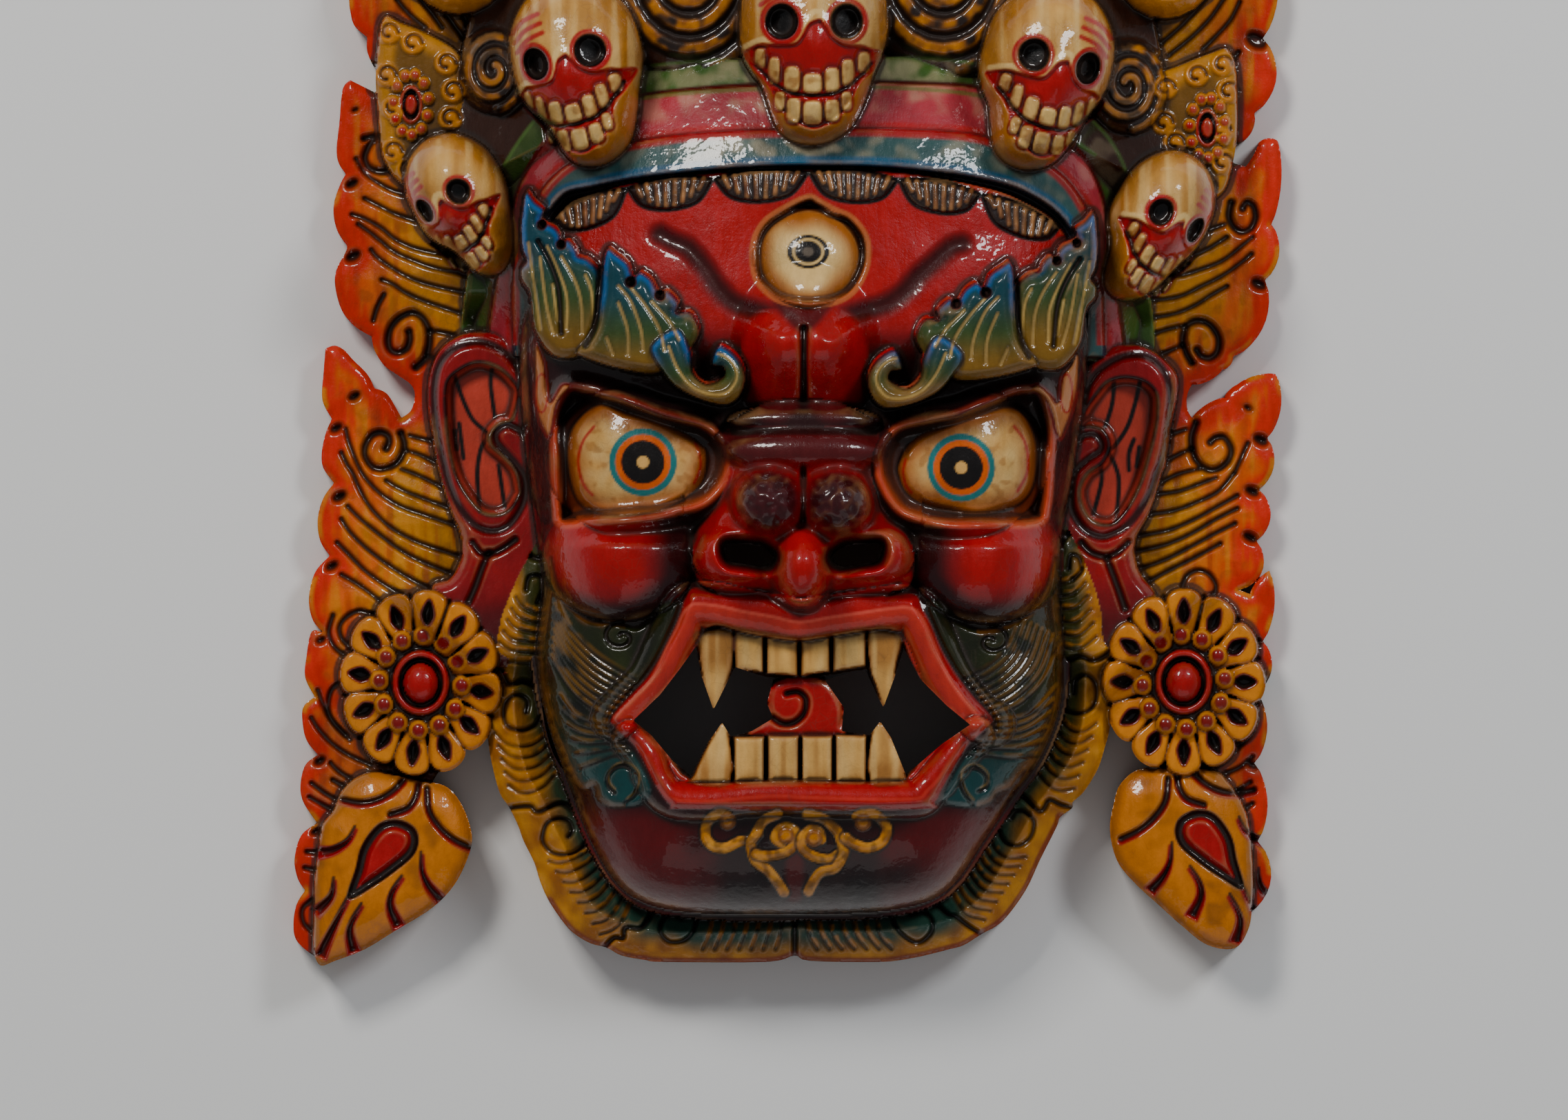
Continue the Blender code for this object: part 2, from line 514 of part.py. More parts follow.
def real_height(z):
    """A layout height at the mask's own board thickness and depth."""
    upper = BOARD + (z - LAYOUT_BOARD) * (DEPTH - BOARD) / (LAYOUT_DEPTH - LAYOUT_BOARD)
    return np.where(z < LAYOUT_BOARD, z * BOARD / LAYOUT_BOARD, upper)


def hollow_back(relief, front, scale):
    """The back: flat at the rim, and scooped out behind the face to leave WALL of wood."""
    box = (slice(None), slice(None))
    inset = relief.depth_inside(curve(FACE, True), box) * scale - RIM
    for edge in (BLUE_EDGE, BROW_EDGE):
        inset = np.maximum(inset, relief.depth_inside(curve(edge), box) * scale - RIM)
    reach = int(np.ceil(WALL / (PITCH * scale)))
    shell = least_nearby(np.where(relief.inside > -2 * PITCH, front, 1e3), reach) - WALL
    shell = softened(np.clip(shell, 0, DEPTH - WALL), 3)
    bank = smoothstep(0, 26, inset)
    return np.where(inset > 0, np.minimum(shell * bank, np.maximum(front - WALL * 0.8, 0)), 0.0)


def corner_rings(flags, values):
    """The part of one grid square that lies inside, as runs of corners and edge crossings."""
    run = []
    for k in range(4):
        n = (k + 1) % 4
        if flags[k]:
            run.append(("corner", k))
        if flags[k] != flags[n]:
            run.append(("cross", k))
    if len(run) == 6 and sum(flags) == 2 and flags[0] == flags[2]:
        return [run[:3], run[3:]] if flags[0] else [run[5:] + run[:2], run[2:5]]
    return [run]


def solid_mesh(relief):
    """Join the relief and the hollow back into one closed mesh."""
    scale = HEIGHT / LAYOUT_HEIGHT
    front = real_height(relief.z)
    back = hollow_back(relief, front, scale)
    inside = np.where(np.abs(relief.inside) < 0.02 * PITCH, 0.02 * PITCH, relief.inside)
    rows, columns = inside.shape
    spots = {}
    top, bottom = [], []

    def add(u, v, high, low):
        real_u, real_v = u * scale, v * scale
        for heap, z in ((top, high), (bottom, low)):
            taper = 1 - z / VIEW_DISTANCE
            heap.append((real_u * taper * MM, real_v * taper * MM, z * MM))
        return len(top) - 1

    def corner(j, i):
        key = (j, i)
        if key not in spots:
            spots[key] = add(relief.us[i], relief.vs[j], front[j, i], back[j, i])
        return spots[key]

    def crossing(a, b):
        key = (min(a, b), max(a, b))
        if key not in spots:
            (j0, i0), (j1, i1) = key
            d0, d1 = inside[j0, i0], inside[j1, i1]
            t = np.clip(d0 / (d0 - d1), 0.06, 0.94)
            keep = (j0, i0) if d0 > 0 else (j1, i1)
            spots[key] = add(relief.us[i0] + t * (relief.us[i1] - relief.us[i0]),
                             relief.vs[j0] + t * (relief.vs[j1] - relief.vs[j0]),
                             front[keep], back[keep])
        return spots[key]

    faces = []
    walls = []
    for j in range(rows - 1):
        for i in range(columns - 1):
            square = [(j, i), (j, i + 1), (j + 1, i + 1), (j + 1, i)]
            flags = [inside[spot] > 0 for spot in square]
            if not any(flags):
                continue
            for run in corner_rings(flags, square):
                ring = []
                for kind, k in run:
                    ring.append(corner(*square[k]) if kind == "corner"
                                else crossing(square[k], square[(k + 1) % 4]))
                faces.append(ring)
                for n, (kind, k) in enumerate(run):
                    after = run[(n + 1) % len(run)]
                    if kind == "cross" and after[0] == "cross":
                        walls.append((ring[n], ring[(n + 1) % len(run)]))
    count = len(top)
    polygons = [tuple(ring) for ring in faces]
    polygons += [tuple(count + k for k in reversed(ring)) for ring in faces]
    polygons += [(b, a, count + a, count + b) for a, b in walls]
    return np.array(top + bottom), polygons


def painted_wood():
    material = bpy.data.materials.new("painted_wood")
    material.use_nodes = True
    shader = material.node_tree.nodes["Principled BSDF"]
    shader.inputs["Base Color"].default_value = (0.42, 0.07, 0.03, 1)
    shader.inputs["Roughness"].default_value = 0.35
    shader.inputs["Metallic"].default_value = 0.0
    return material


def carve():
    relief = Relief()
    for carver in (boards, crown, headband, ears, face, eyes, brows, nose, mouth, cheeks, beard,
                   ear_ornaments, skulls):
        carver(relief)
    return relief


def main():
    for item in list(bpy.data.objects):
        bpy.data.objects.remove(item)
    points, polygons = solid_mesh(carve())
    middle_of_box = 0.5 * (points.min(axis=0) + points.max(axis=0))
    points[:, :2] -= middle_of_box[:2]
    mesh = bpy.data.meshes.new("mahakala_mask")
    mesh.from_pydata(points.tolist(), [], polygons)
    mesh.validate()
    mesh.materials.append(painted_wood())
    mask = bpy.data.objects.new("mahakala_mask", mesh)
    bpy.context.scene.collection.objects.link(mask)
    triangles = sum(len(polygon) - 2 for polygon in polygons)
    cut = mask.modifiers.new("fewer_faces", "DECIMATE")
    cut.ratio = min(1.0, TRIANGLES / triangles)
    cut.use_collapse_triangulate = True
    mesh.shade_smooth()
    mesh.set_sharp_from_angle(angle=np.radians(40))


main()
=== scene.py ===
"""The mask's carving and paint, laid over its solid, on a pale studio floor."""
import bpy
import numpy as np
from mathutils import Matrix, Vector


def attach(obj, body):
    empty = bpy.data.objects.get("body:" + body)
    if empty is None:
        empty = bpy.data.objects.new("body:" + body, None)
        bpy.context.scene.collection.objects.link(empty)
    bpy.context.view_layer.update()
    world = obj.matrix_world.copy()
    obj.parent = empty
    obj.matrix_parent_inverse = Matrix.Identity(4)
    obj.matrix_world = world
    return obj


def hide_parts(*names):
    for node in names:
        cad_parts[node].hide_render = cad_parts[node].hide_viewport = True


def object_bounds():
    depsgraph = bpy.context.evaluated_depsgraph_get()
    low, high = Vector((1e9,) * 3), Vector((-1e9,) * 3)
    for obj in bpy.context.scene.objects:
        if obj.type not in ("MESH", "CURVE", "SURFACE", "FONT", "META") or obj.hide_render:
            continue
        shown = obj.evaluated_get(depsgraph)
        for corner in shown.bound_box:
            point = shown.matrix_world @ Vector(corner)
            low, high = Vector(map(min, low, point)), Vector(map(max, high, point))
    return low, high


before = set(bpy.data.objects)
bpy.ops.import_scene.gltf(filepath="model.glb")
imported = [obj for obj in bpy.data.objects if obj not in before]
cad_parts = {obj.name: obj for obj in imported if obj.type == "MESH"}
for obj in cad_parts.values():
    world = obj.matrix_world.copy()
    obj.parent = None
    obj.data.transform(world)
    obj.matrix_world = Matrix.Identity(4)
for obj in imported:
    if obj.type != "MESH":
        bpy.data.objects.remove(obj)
CAD_LOW, CAD_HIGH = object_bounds()

# The relief is worked out over the front elevation: u to the right and v up, in millimetres,
# as the mask looks from VIEW above it. The crown above FINE_TOP and the back are plainer and coarser.
VIEW = 2500.0
STEP = 0.75
COARSE_STEP = 1.35
FINE_TOP = 262
BACK_STEPS = 4
US = np.arange(-238, 240.5, STEP)
VS = np.concatenate([np.arange(-194, FINE_TOP, STEP), np.arange(FINE_TOP, 476, COARSE_STEP)])
U, V = np.meshgrid(US, VS)

# Height above the flat back, distance inside the outline, colour, and the number of the carved piece
Z = np.zeros_like(U)
INSIDE = np.full_like(U, -9.0)
PAINT = np.zeros(U.shape + (3,))
PIECE = np.zeros(U.shape, int)
NAMES = ["flame_boards", "crown_top", "hair_and_tiles", "headband", "forehead", "brows", "ears",
         "face_skin", "nose", "eyeballs", "lips", "teeth", "tongue", "moustache", "beard", "rosettes",
         "pendants", "skulls"]

# The middle line of the face leans, and above MIDDLE_V the right side is carved a little lower
MIDDLE_U = 7.9
MIDDLE_V = -58.0
LEAN = 0.0185
SKEW = 0.00016

# Levels of the parts in millimetres above the back, then the walls and the rim of the hollow
BOARD_LEVEL = 17
HAIR_LEVEL = 40
TILE_LEVEL = 42
EAR_LEVEL = 46
FACE_LEVEL = 50
BROW_LEVEL = 114
NOSE_LEVEL = 96
TOOTH_LEVEL = 100
TONGUE_LEVEL = 92
PENDANT_LEVEL = 35
ROSETTE_LEVEL = 40
WALL = 15
LEAST_WALL = 12
RIM_WIDTH = 20


def srgb(r, g, b):
    """A colour of 0 to 255 as linear light."""
    c = np.array((r, g, b)) / 255.0
    return np.where(c <= 0.04045, c / 12.92, ((c + 0.055) / 1.055) ** 2.4)


RED = srgb(158, 6, 12)
DEEP_RED = srgb(94, 6, 10)
MAROON = srgb(38, 8, 10)
INK = srgb(16, 11, 10)
SALMON = srgb(190, 62, 44)
PINK = srgb(164, 46, 58)
ORANGE = srgb(204, 86, 2)
FLAME = srgb(198, 34, 2)
YELLOW = srgb(200, 132, 8)
GOLD = srgb(190, 118, 14)
OCHRE = srgb(136, 78, 18)
BROWN = srgb(48, 22, 10)
CREAM = srgb(214, 178, 112)
BONE = srgb(202, 156, 84)
SLATE = srgb(44, 80, 80)
GREEN = srgb(58, 90, 32)
TEAL = srgb(24, 108, 110)


def middle(v):
    """Where the middle line of the face is at height v."""
    return MIDDLE_U + LEAN * (v - MIDDLE_V)


def other_side(points):
    """The mirror image of the points across the middle line, in reverse order."""
    mirrored = []
    for u, v in points:
        offset = u - middle(v)
        mirrored.append((middle(v) - offset, v + 2 * offset * SKEW * max(v - MIDDLE_V, 0)))
    return mirrored[::-1]


def smoothstep(low, high, x):
    """From 0 at low to 1 at high, with soft ends."""
    t = np.clip((x - low) / (high - low), 0.0, 1.0)
    return t * t * (3 - 2 * t)


def curve(points, closed=False, steps=6):
    """A smooth line through the points."""
    p = np.asarray(points, float)
    count = len(p)
    t = np.arange(steps)[:, None] / steps
    line = []
    for i in range(count if closed else count - 1):
        if closed:
            a, b, c, d = (p[(i + k) % count] for k in (-1, 0, 1, 2))
        else:
            a, b, c, d = (p[min(max(i + k, 0), count - 1)] for k in (-1, 0, 1, 2))
        line.append(0.5 * (2 * b + (c - a) * t + (2 * a - 5 * b + 4 * c - d) * t ** 2
                           + (3 * b - a - 3 * c + d) * t ** 3))
    if not closed:
        line.append(p[-1:])
    return np.concatenate(line)


def lobes(start, ends, steps=9):
    """Lobes from point to point, each swelling aside by a share of its length."""
    line = []
    a = np.array(start, float)
    for u, v, swell in ends:
        b = np.array((u, v), float)
        run = b - a
        out = np.array((run[1], -run[0])) * swell
        for k in range(steps):
            t = k / steps
            line.append(a + run * t + out * np.sin(np.pi * t) ** 0.7)
        a = b
    line.append(a)
    return line


def spiral(centre, radius, turns, start, aspect=1.0, inner=0.15, steps=24):
    """A line that winds in to a share of its radius."""
    count = int(abs(turns) * steps) + 1
    t = np.linspace(0, 1, count)
    angle = np.radians(start) + 2 * np.pi * turns * t
    r = radius * (1 - (1 - inner) * t)
    return np.stack((centre[0] + r * np.cos(angle), centre[1] + r * np.sin(angle) * aspect), 1)


def oval(centre, rx, ry, turn=0, count=32):
    """A closed oval, turned by degrees."""
    t = np.linspace(0, 2 * np.pi, count, endpoint=False)
    c, s = np.cos(np.radians(turn)), np.sin(np.radians(turn))
    x, y = rx * np.cos(t), ry * np.sin(t)
    return np.stack((centre[0] + x * c - y * s, centre[1] + x * s + y * c), 1)


def looped(line):
    """The line with its first point again at its end."""
    return np.concatenate([line, line[:1]])


def window(line, margin):
    """The part of the grid that holds the line and a margin round it."""
    low = np.min(line, axis=0) - margin
    high = np.max(line, axis=0) + margin
    i = np.searchsorted(US, (low[0], high[0]))
    j = np.searchsorted(VS, (low[1], high[1]))
    return slice(j[0], j[1]), slice(i[0], i[1])


def distance(line, reach, box=None):
    """How far each point near the line is from it, up to reach."""
    line = np.asarray(line, float)
    box = box or window(line, reach)
    u, v = US[box[1]], VS[box[0]]
    best = np.full((len(v), len(u)), float(reach) ** 2)
    for a, b in zip(line[:-1], line[1:]):
        i0, i1 = np.searchsorted(u, (min(a[0], b[0]) - reach, max(a[0], b[0]) + reach))
        j0, j1 = np.searchsorted(v, (min(a[1], b[1]) - reach, max(a[1], b[1]) + reach))
        if i0 == i1 or j0 == j1:
            continue
        x, y = u[None, i0:i1] - a[0], v[j0:j1, None] - a[1]
        du, dv = b - a
        t = np.clip((x * du + y * dv) / max(du * du + dv * dv, 1e-9), 0, 1)
        spot = best[j0:j1, i0:i1]
        np.minimum(spot, (x - t * du) ** 2 + (y - t * dv) ** 2, out=spot)
    return box, np.sqrt(best)


def depth_inside(outline, reach=8.0, box=None):
    """Distance to the outline up to reach, positive inside it."""
    outline = np.asarray(outline, float)
    ring = looped(outline)
    box, d = distance(ring, reach, box)
    u, v = US[box[1]], VS[box[0]]
    odd = np.zeros(d.shape, bool)
    for a, b in zip(ring[:-1], ring[1:]):
        if a[1] == b[1]:
            continue
        j0, j1 = np.searchsorted(v, sorted((a[1], b[1])))
        cut = a[0] + (v[j0:j1] - a[1]) * (b[0] - a[0]) / (b[1] - a[1])
        odd[j0:j1] ^= u[None, :] < cut[:, None]
    return box, np.where(odd, d, -d)


def soft(d, width=0.45):
    """From 0 to 1 across an edge where d is 0."""
    return smoothstep(-width, width, d)


def paint(box, share, colour):
    """Mix the colour over the window's paint, by a share from 0 to 1."""
    share = share if np.ndim(share) else np.full(Z[box].shape, share)
    colour = colour if np.ndim(colour) == 3 else np.asarray(colour)[None, None, :]
    PAINT[box] += share[..., None] * (colour - PAINT[box])


def blend(a, b, t):
    """Colour a where t is 0, and b where it is 1."""
    t = np.asarray(t)[..., None]
    return a * (1 - t) + b * t


def plate(outline, top, edge=3.0, colour=None, name=None, hard=True, reach=None, tuck=0.6):
    """Raise what the outline holds to top with a rounded edge, and paint it."""
    reach = reach or max(edge + 1, 4)
    box, d = depth_inside(outline, reach)
    level = top(U[box], V[box], d) if callable(top) else top
    bend = np.clip(1 - d / edge, 0, 1)
    level = level - edge * tuck * (1 - np.sqrt(1 - bend ** 2))
    share = smoothstep(-0.5, 0.5, d)
    if hard:
        share = np.where(INSIDE[box] < 0, (d > -2.5) * 1.0, share)
        INSIDE[box] = np.maximum(INSIDE[box], np.minimum(d, 9.0))
    rise = level - Z[box]
    up = share * (rise > 0)
    Z[box] += up * rise
    if colour is not None:
        paint(box, up, colour(U[box], V[box], d) if callable(colour) else colour)
    if name:
        PIECE[box] = np.where(up > 0.5, NAMES.index(name), PIECE[box])
    return box, d


def fill(outline, colour, width=0.45, share=1.0, reach=3.0):
    """Paint what the outline holds."""
    box, d = depth_inside(outline, reach)
    paint(box, soft(d, width) * share, colour)


def near(centre, radius, blur=0.45):
    """The window about a spot, and how much of it each point takes."""
    box = window([centre], radius + 1)
    return box, soft(radius - np.hypot(U[box] - centre[0], V[box] - centre[1]), blur)


def spread(centre, radii):
    """The window about an oval, and a field that is 0 at its heart and 1 at its rim."""
    reach = max(radii)
    box = window([(centre[0] - reach, centre[1] - reach), (centre[0] + reach, centre[1] + reach)], 1)
    q = ((U[box] - centre[0]) / radii[0]) ** 2 + ((V[box] - centre[1]) / radii[1]) ** 2
    return box, q


def dome(centre, radii, rise, base=None, power=0.5):
    """A swelling on what is there, or one that stands on its own base."""
    box, q = spread(centre, radii)
    swell = rise * np.clip(1 - q, 0, 1) ** power
    if base is None:
        Z[box] += swell
    else:
        Z[box] = np.where(q < 1, np.maximum(Z[box], base + swell), Z[box])
    return box, q


def sink(outline, depth, slope=2.0):
    """Cut away what the outline holds."""
    box, d = depth_inside(outline, slope + 1)
    Z[box] -= depth * smoothstep(0, slope, d)
    return box, d


def groove(line, width, depth, colour=None, share=0.9):
    """A rounded cut along the line, width across, with its paint."""
    box, d = distance(line, width + 1)
    Z[box] -= depth * smoothstep(0.85 * width, 0, d)
    if colour is not None:
        paint(box, share * soft(0.42 * width - d, 0.9), colour)


def ridge(line, width, rise, colour=None):
    """A rounded ridge along the line."""
    box, d = distance(line, width + 1)
    Z[box] += rise * np.sqrt(np.clip(1 - (d / width) ** 2, 0, 1))
    if colour is not None:
        paint(box, soft(width - d), colour)


def stroke(line, width, colour, share=1.0, blur=0.45):
    """A painted line."""
    box, d = distance(line, width + blur + 0.5)
    paint(box, share * soft(0.5 * width - d, blur), colour)


def band(first, last, count):
    """Lines stepped evenly from the first to the last."""
    a, b = np.asarray(first, float), np.asarray(last, float)
    return [a + (b - a) * k / (count - 1) for k in range(count)]


def pierce(outline):
    """A hole right through."""
    box, d = depth_inside(outline, 5)
    INSIDE[box] = np.minimum(INSIDE[box], -d)


def only_on(name, work):
    """Carve and paint one piece, and leave the others as they were."""
    before = Z.copy(), PAINT.copy()
    work()
    other = PIECE != NAMES.index(name)
    Z[other], PAINT[other] = before[0][other], before[1][other]


def head(u, v):
    """The round of the head, which the bands and the forehead lie on."""
    q = ((u - middle(v)) / 160) ** 2 + ((v - 95) / 178) ** 2
    return 40 + 76 * np.sqrt(np.clip(1 - q, 0, 1))


def softened(z, radius, rounds=3, along=1):
    """A blur about radius millimetres wide."""
    for _ in range(rounds):
        for axis in (0, 1):
            n = max(int(round(radius * (1 if axis else along) / STEP)), 1)
            pad = [(n, n) if k == axis else (0, 0) for k in (0, 1)]
            total = np.cumsum(np.pad(z, pad, mode="edge"), axis=axis)
            zero = np.zeros_like(np.take(total, [0], axis=axis))
            total = np.concatenate([zero, total], axis=axis)
            count = z.shape[axis]
            high = np.take(total, np.arange(2 * n + 1, 2 * n + 1 + count), axis=axis)
            low = np.take(total, np.arange(0, count), axis=axis)
            z = (high - low) / (2 * n + 1)
    return z


def clouds(radius, seed, along=1):
    """A smooth random field, radius millimetres coarse and along times that upwards, from 0 to 1."""
    field = softened(np.random.default_rng(seed).random(U.shape), radius, 3, along)
    low, high = np.percentile(field, (2, 98))
    return np.clip((field - low) / (high - low), 0, 1)


GRIT = clouds(0.7, 3)
MOTTLE = clouds(4.0, 5)
STREAK = clouds(1.6, 9)
GRAIN = clouds(0.8, 17, 16)


def runs(*parts):
    """Smooth lines joined at corners."""
    return np.concatenate([curve(part) for part in parts])


def both(*lines):
    """Each line with its mirror image across the face."""
    return [line for pair in ((points, other_side(points)) for points in lines) for line in pair]


# Flame boards, from the top of each side down, with a corner where one run meets the next
LEFT_EDGE = runs(
    [(-203.5, 262), (-203, 257), (-201, 250), (-195, 244.5)],
    [(-195, 244.5), (-195, 238), (-192, 231), (-188, 227)], [(-188, 227), (-190, 218)],
    [(-190, 218), (-198, 222), (-203, 224.5)],
    [(-203, 224.5), (-206.5, 220), (-208, 205), (-209.3, 193), (-208.5, 186), (-205, 180.5)],
    [(-205, 180.5), (-207.5, 176), (-210.3, 168), (-210.7, 161), (-209, 154), (-206, 149)],
    [(-206, 149), (-204.5, 145.5), (-209.3, 136), (-210, 128), (-207, 117), (-201, 109.5), (-193, 104.5)],
    [(-193, 104.5), (-191.5, 98), (-187, 91), (-180, 86), (-174.5, 82), (-172.7, 77), (-174.5, 70),
     (-179, 66.5)], [(-179, 66.5), (-182, 72), (-186, 78), (-191.7, 80.5)],
    [(-191.7, 80.5), (-195, 87), (-202, 94), (-205.5, 98), (-210, 100.3), (-214.5, 99)],
    [(-214.5, 99), (-215.4, 88), (-216, 75), (-211.5, 66)],
    [(-211.5, 66), (-214.5, 59), (-216.3, 50), (-215.5, 43), (-210.5, 36)],
    [(-210.5, 36), (-215.5, 29), (-218.2, 19), (-217, 9), (-212.5, 2)],
    [(-212.5, 2), (-219.5, -6), (-222.3, -18), (-220.5, -28), (-215.5, -34)],
    [(-215.5, -34), (-221, -33.5), (-223.4, -45), (-224, -55), (-219.5, -64)],
    [(-219.5, -64), (-225, -69), (-225, -78), (-223, -85), (-218, -91)],
    [(-218, -91), (-224, -96), (-226.2, -105), (-225, -113), (-218.5, -123)],
    [(-218.5, -123), (-226, -129), (-229, -140), (-227.5, -149), (-224, -154.5)],
    [(-224, -154.5), (-228, -161), (-229.5, -170), (-228, -178), (-220, -185), (-214, -186)])
CROWN_EDGE = lobes(
    (-203.5, 262),
    [(-200, 290, -0.14), (-186, 332, -0.18), (-160, 368, -0.18), (-122, 400, -0.2), (-78, 428, -0.2),
     (-30, 450, -0.2), (13, 471, -0.1), (56, 450, -0.1), (104, 428, -0.2), (148, 400, -0.2),
     (186, 368, -0.2), (212, 332, -0.18), (226, 290, -0.18)])
RIGHT_EDGE = lobes(
    (226, 290),
    [(224, 244, -0.14), (220, 209, -0.24), (211, 194, -0.2), (209, 186, 0), (216, 184, 0),
     (222, 195, 0.05), (231, 196, -0.2), (228, 157, -0.08), (225, 131, -0.2), (210, 95, -0.2),
     (205, 89, -0.2), (191, 82, -0.12), (188.5, 73, 0.1), (191, 66.5, 0.1), (206, 76, -0.1),
     (212, 82, -0.1), (230, 87, -0.1), (226, 57, -0.15), (222, 33, -0.22), (221, 9, -0.26),
     (213, -14, -0.3), (218, -16, 0), (227, -5, -0.1), (224, -38, -0.12), (221, -62, -0.24),
     (220, -95, -0.17), (221.5, -131.5, -0.15), (216, -166, -0.26)])
BOARD_FOOT = [(190, -120), (140, -40), (100, 60), (-80, 60), (-130, -50), (-175, -120)]
LEFT_STROKES = [
    [(-200, 187.5), (-196, 181), (-189, 176), (-182, 172.5), (-173, 170.5)],
    [(-196, 169), (-190, 166), (-182, 162), (-173, 159), (-165, 157)],
    [(-202, 161.5), (-196, 159.5), (-188, 155), (-181, 149.5), (-170, 145), (-156, 142.5)],
    [(-199, 157), (-194, 153.5), (-189, 149.5), (-182, 144), (-173, 140), (-163, 136.5), (-148, 133.5)],
    [(-193, 145), (-190, 141.5), (-183, 136.5), (-175, 132), (-165, 128.5), (-149, 125)],
    [(-188, 131), (-183, 129), (-177, 125), (-168, 121), (-152, 115.5)],
    [(-187, 124), (-190, 118.5), (-192, 112)], [(-165, 107), (-158, 106), (-150, 103)],
    [(-166, 95), (-160, 93)], [(-175, 58), (-163, 55)], [(-176, 51), (-170, 49), (-162, 45)],
    [(-179, 42.5), (-170, 39), (-158, 33)], [(-186, 37), (-180, 33.5), (-172, 30), (-156, 24)],
    [(-205, 61), (-203.5, 55), (-200, 46), (-197, 40), (-192, 34), (-186, 29), (-178, 24.5), (-168, 21),
     (-152, 15.5)],
    [(-207, 50), (-204, 44), (-201.5, 40), (-198, 32), (-193, 24), (-185, 16), (-175, 10), (-165, 6),
     (-150, 1)], [(-204, 25), (-198, 19), (-190, 12.5), (-180, 5), (-170, -0.5), (-152, -8)],
    [(-207, 19), (-203, 13), (-196, 6), (-187, -1), (-177, -7.5), (-165, -14)],
    [(-209, 8), (-204, 3), (-196, -5), (-187, -11.5), (-178, -17)],
    [(-207, -7), (-200, -11), (-193, -16), (-186, -22)],
    [(-193, -25.5), (-199, -24), (-205, -27), (-208, -32), (-206, -38), (-200, -42)],
    [(-211, -26), (-213, -34), (-210, -41), (-203, -46)],
    [(-206, -57), (-211, -60), (-213, -66), (-212, -74), (-205, -82)],
    [(-218, -61), (-215, -69), (-210, -77), (-203, -84)],
    [(-221, -74), (-217, -80), (-210, -87), (-202, -92), (-193, -96)],
    [(-212, -95), (-208, -99), (-200, -104)], [(-211, -103), (-204, -107)],
    [(-221, -104.5), (-215, -109), (-208, -113)], [(-222, -111), (-215, -115), (-209, -118)],
    [(-223, -136.5), (-216, -137)], [(-224, -144), (-216, -146)],
    [(-219, -158), (-225, -163), (-224.5, -170), (-219, -175)], [(-181, 262), (-176, 256), (-168, 249)],
    [(-170, 262), (-165, 256), (-160, 249)], [(-162, 262), (-157, 254), (-149, 243)],
    [(-153, 262), (-150, 255), (-146, 247)]]
RIGHT_STROKES = [
    [(162, 244), (170, 250), (180, 259), (186, 266)], [(169, 236), (178, 243), (188, 252), (198, 264)],
    [(180, 236), (190, 244), (199, 253), (206, 263)], [(196, 239), (203, 246), (209, 253), (213, 261)],
    [(210, 234), (212.5, 237.5)], [(194, 162), (200, 163)], [(190, 151), (200, 155), (206, 157)],
    [(180, 139.5), (190, 142), (199, 146), (207, 151)],
    [(168, 132), (184, 133), (195, 136), (205, 140), (213, 146), (219, 151)],
    [(168, 121), (184, 123), (195, 128), (205, 133), (213, 138.5), (218.5, 143)],
    [(170, 113), (182, 115), (192, 119), (200, 124), (207, 128)],
    [(172, 105.5), (180, 108), (187, 109.5)], [(176, 96), (182, 98.5), (186, 100.5)],
    [(180, 58.5), (188, 61)], [(178, 46), (186, 50), (190.5, 52)], [(174, 35), (184, 40), (194, 42.5)],
    [(211, 41), (214, 48), (217, 54.5)], [(172, 30.5), (184, 32), (193, 35), (202, 38.5)],
    [(168, 21), (182, 23), (193, 27), (203, 32), (210, 40)],
    [(165, 11), (180, 14), (192, 19), (203, 25), (212, 30)],
    [(163, 3.5), (178, 7), (190, 12), (202, 19), (212, 24)],
    [(164, -5), (178, 0), (190, 6), (202, 12.5), (211, 17)],
    [(167, -12), (180, -5), (192, 1), (204, 7.5)],
    [(187, -17), (186.5, -12), (189, -7), (194, -5), (199, -7), (202, -12), (200.5, -17), (196, -19)],
    [(206, -31), (210, -34), (213, -40), (211, -47)], [(212, -54), (216, -48), (218, -43)],
    [(211, -70), (216, -66), (219, -70), (219, -78), (213, -84)], [(204, -92), (212, -88), (219, -80)],
    [(206, -100), (213, -97), (219, -92)], [(212, -108), (218, -104)], [(213, -118), (219, -114)]]
WING_SPIRALS = [
    [(-172, 90), (-168, 94), (-166, 100), (-166, 107), (-169, 113), (-174, 115.5), (-180, 113),
     (-184, 108), (-185, 102), (-183.5, 98), (-180, 97), (-176.5, 99), (-175, 103), (-175.3, 106.5)],
    [(-179, 59), (-177.5, 54), (-178.5, 49), (-182, 44.5), (-188, 42.5), (-193, 44), (-196, 49),
     (-195.5, 54), (-193, 58), (-189, 59.5), (-185.5, 58), (-184.8, 55), (-186, 52)],
    [(-196, 197), (-192, 197.5), (-194.5, 193), (-196, 188), (-194, 183.5), (-189, 181.5), (-184, 182.5)],
    [(190.5, 92.5), (188, 97), (186.3, 103), (188, 109), (193, 111.8), (199, 110), (203, 104),
     (202.5, 97.5), (199, 94.5), (195, 95.5), (193, 98)],
    [(192.5, 64), (190.5, 58), (191, 51), (194, 45), (199, 42), (204, 43), (208, 47), (209, 52),
     (206, 57), (202, 57), (199.5, 55)],
    [(209, 167), (208, 161), (210, 156), (214, 153.5), (218, 155), (220.5, 160), (219.5, 165),
     (216.5, 167), (214.5, 164.5)]]
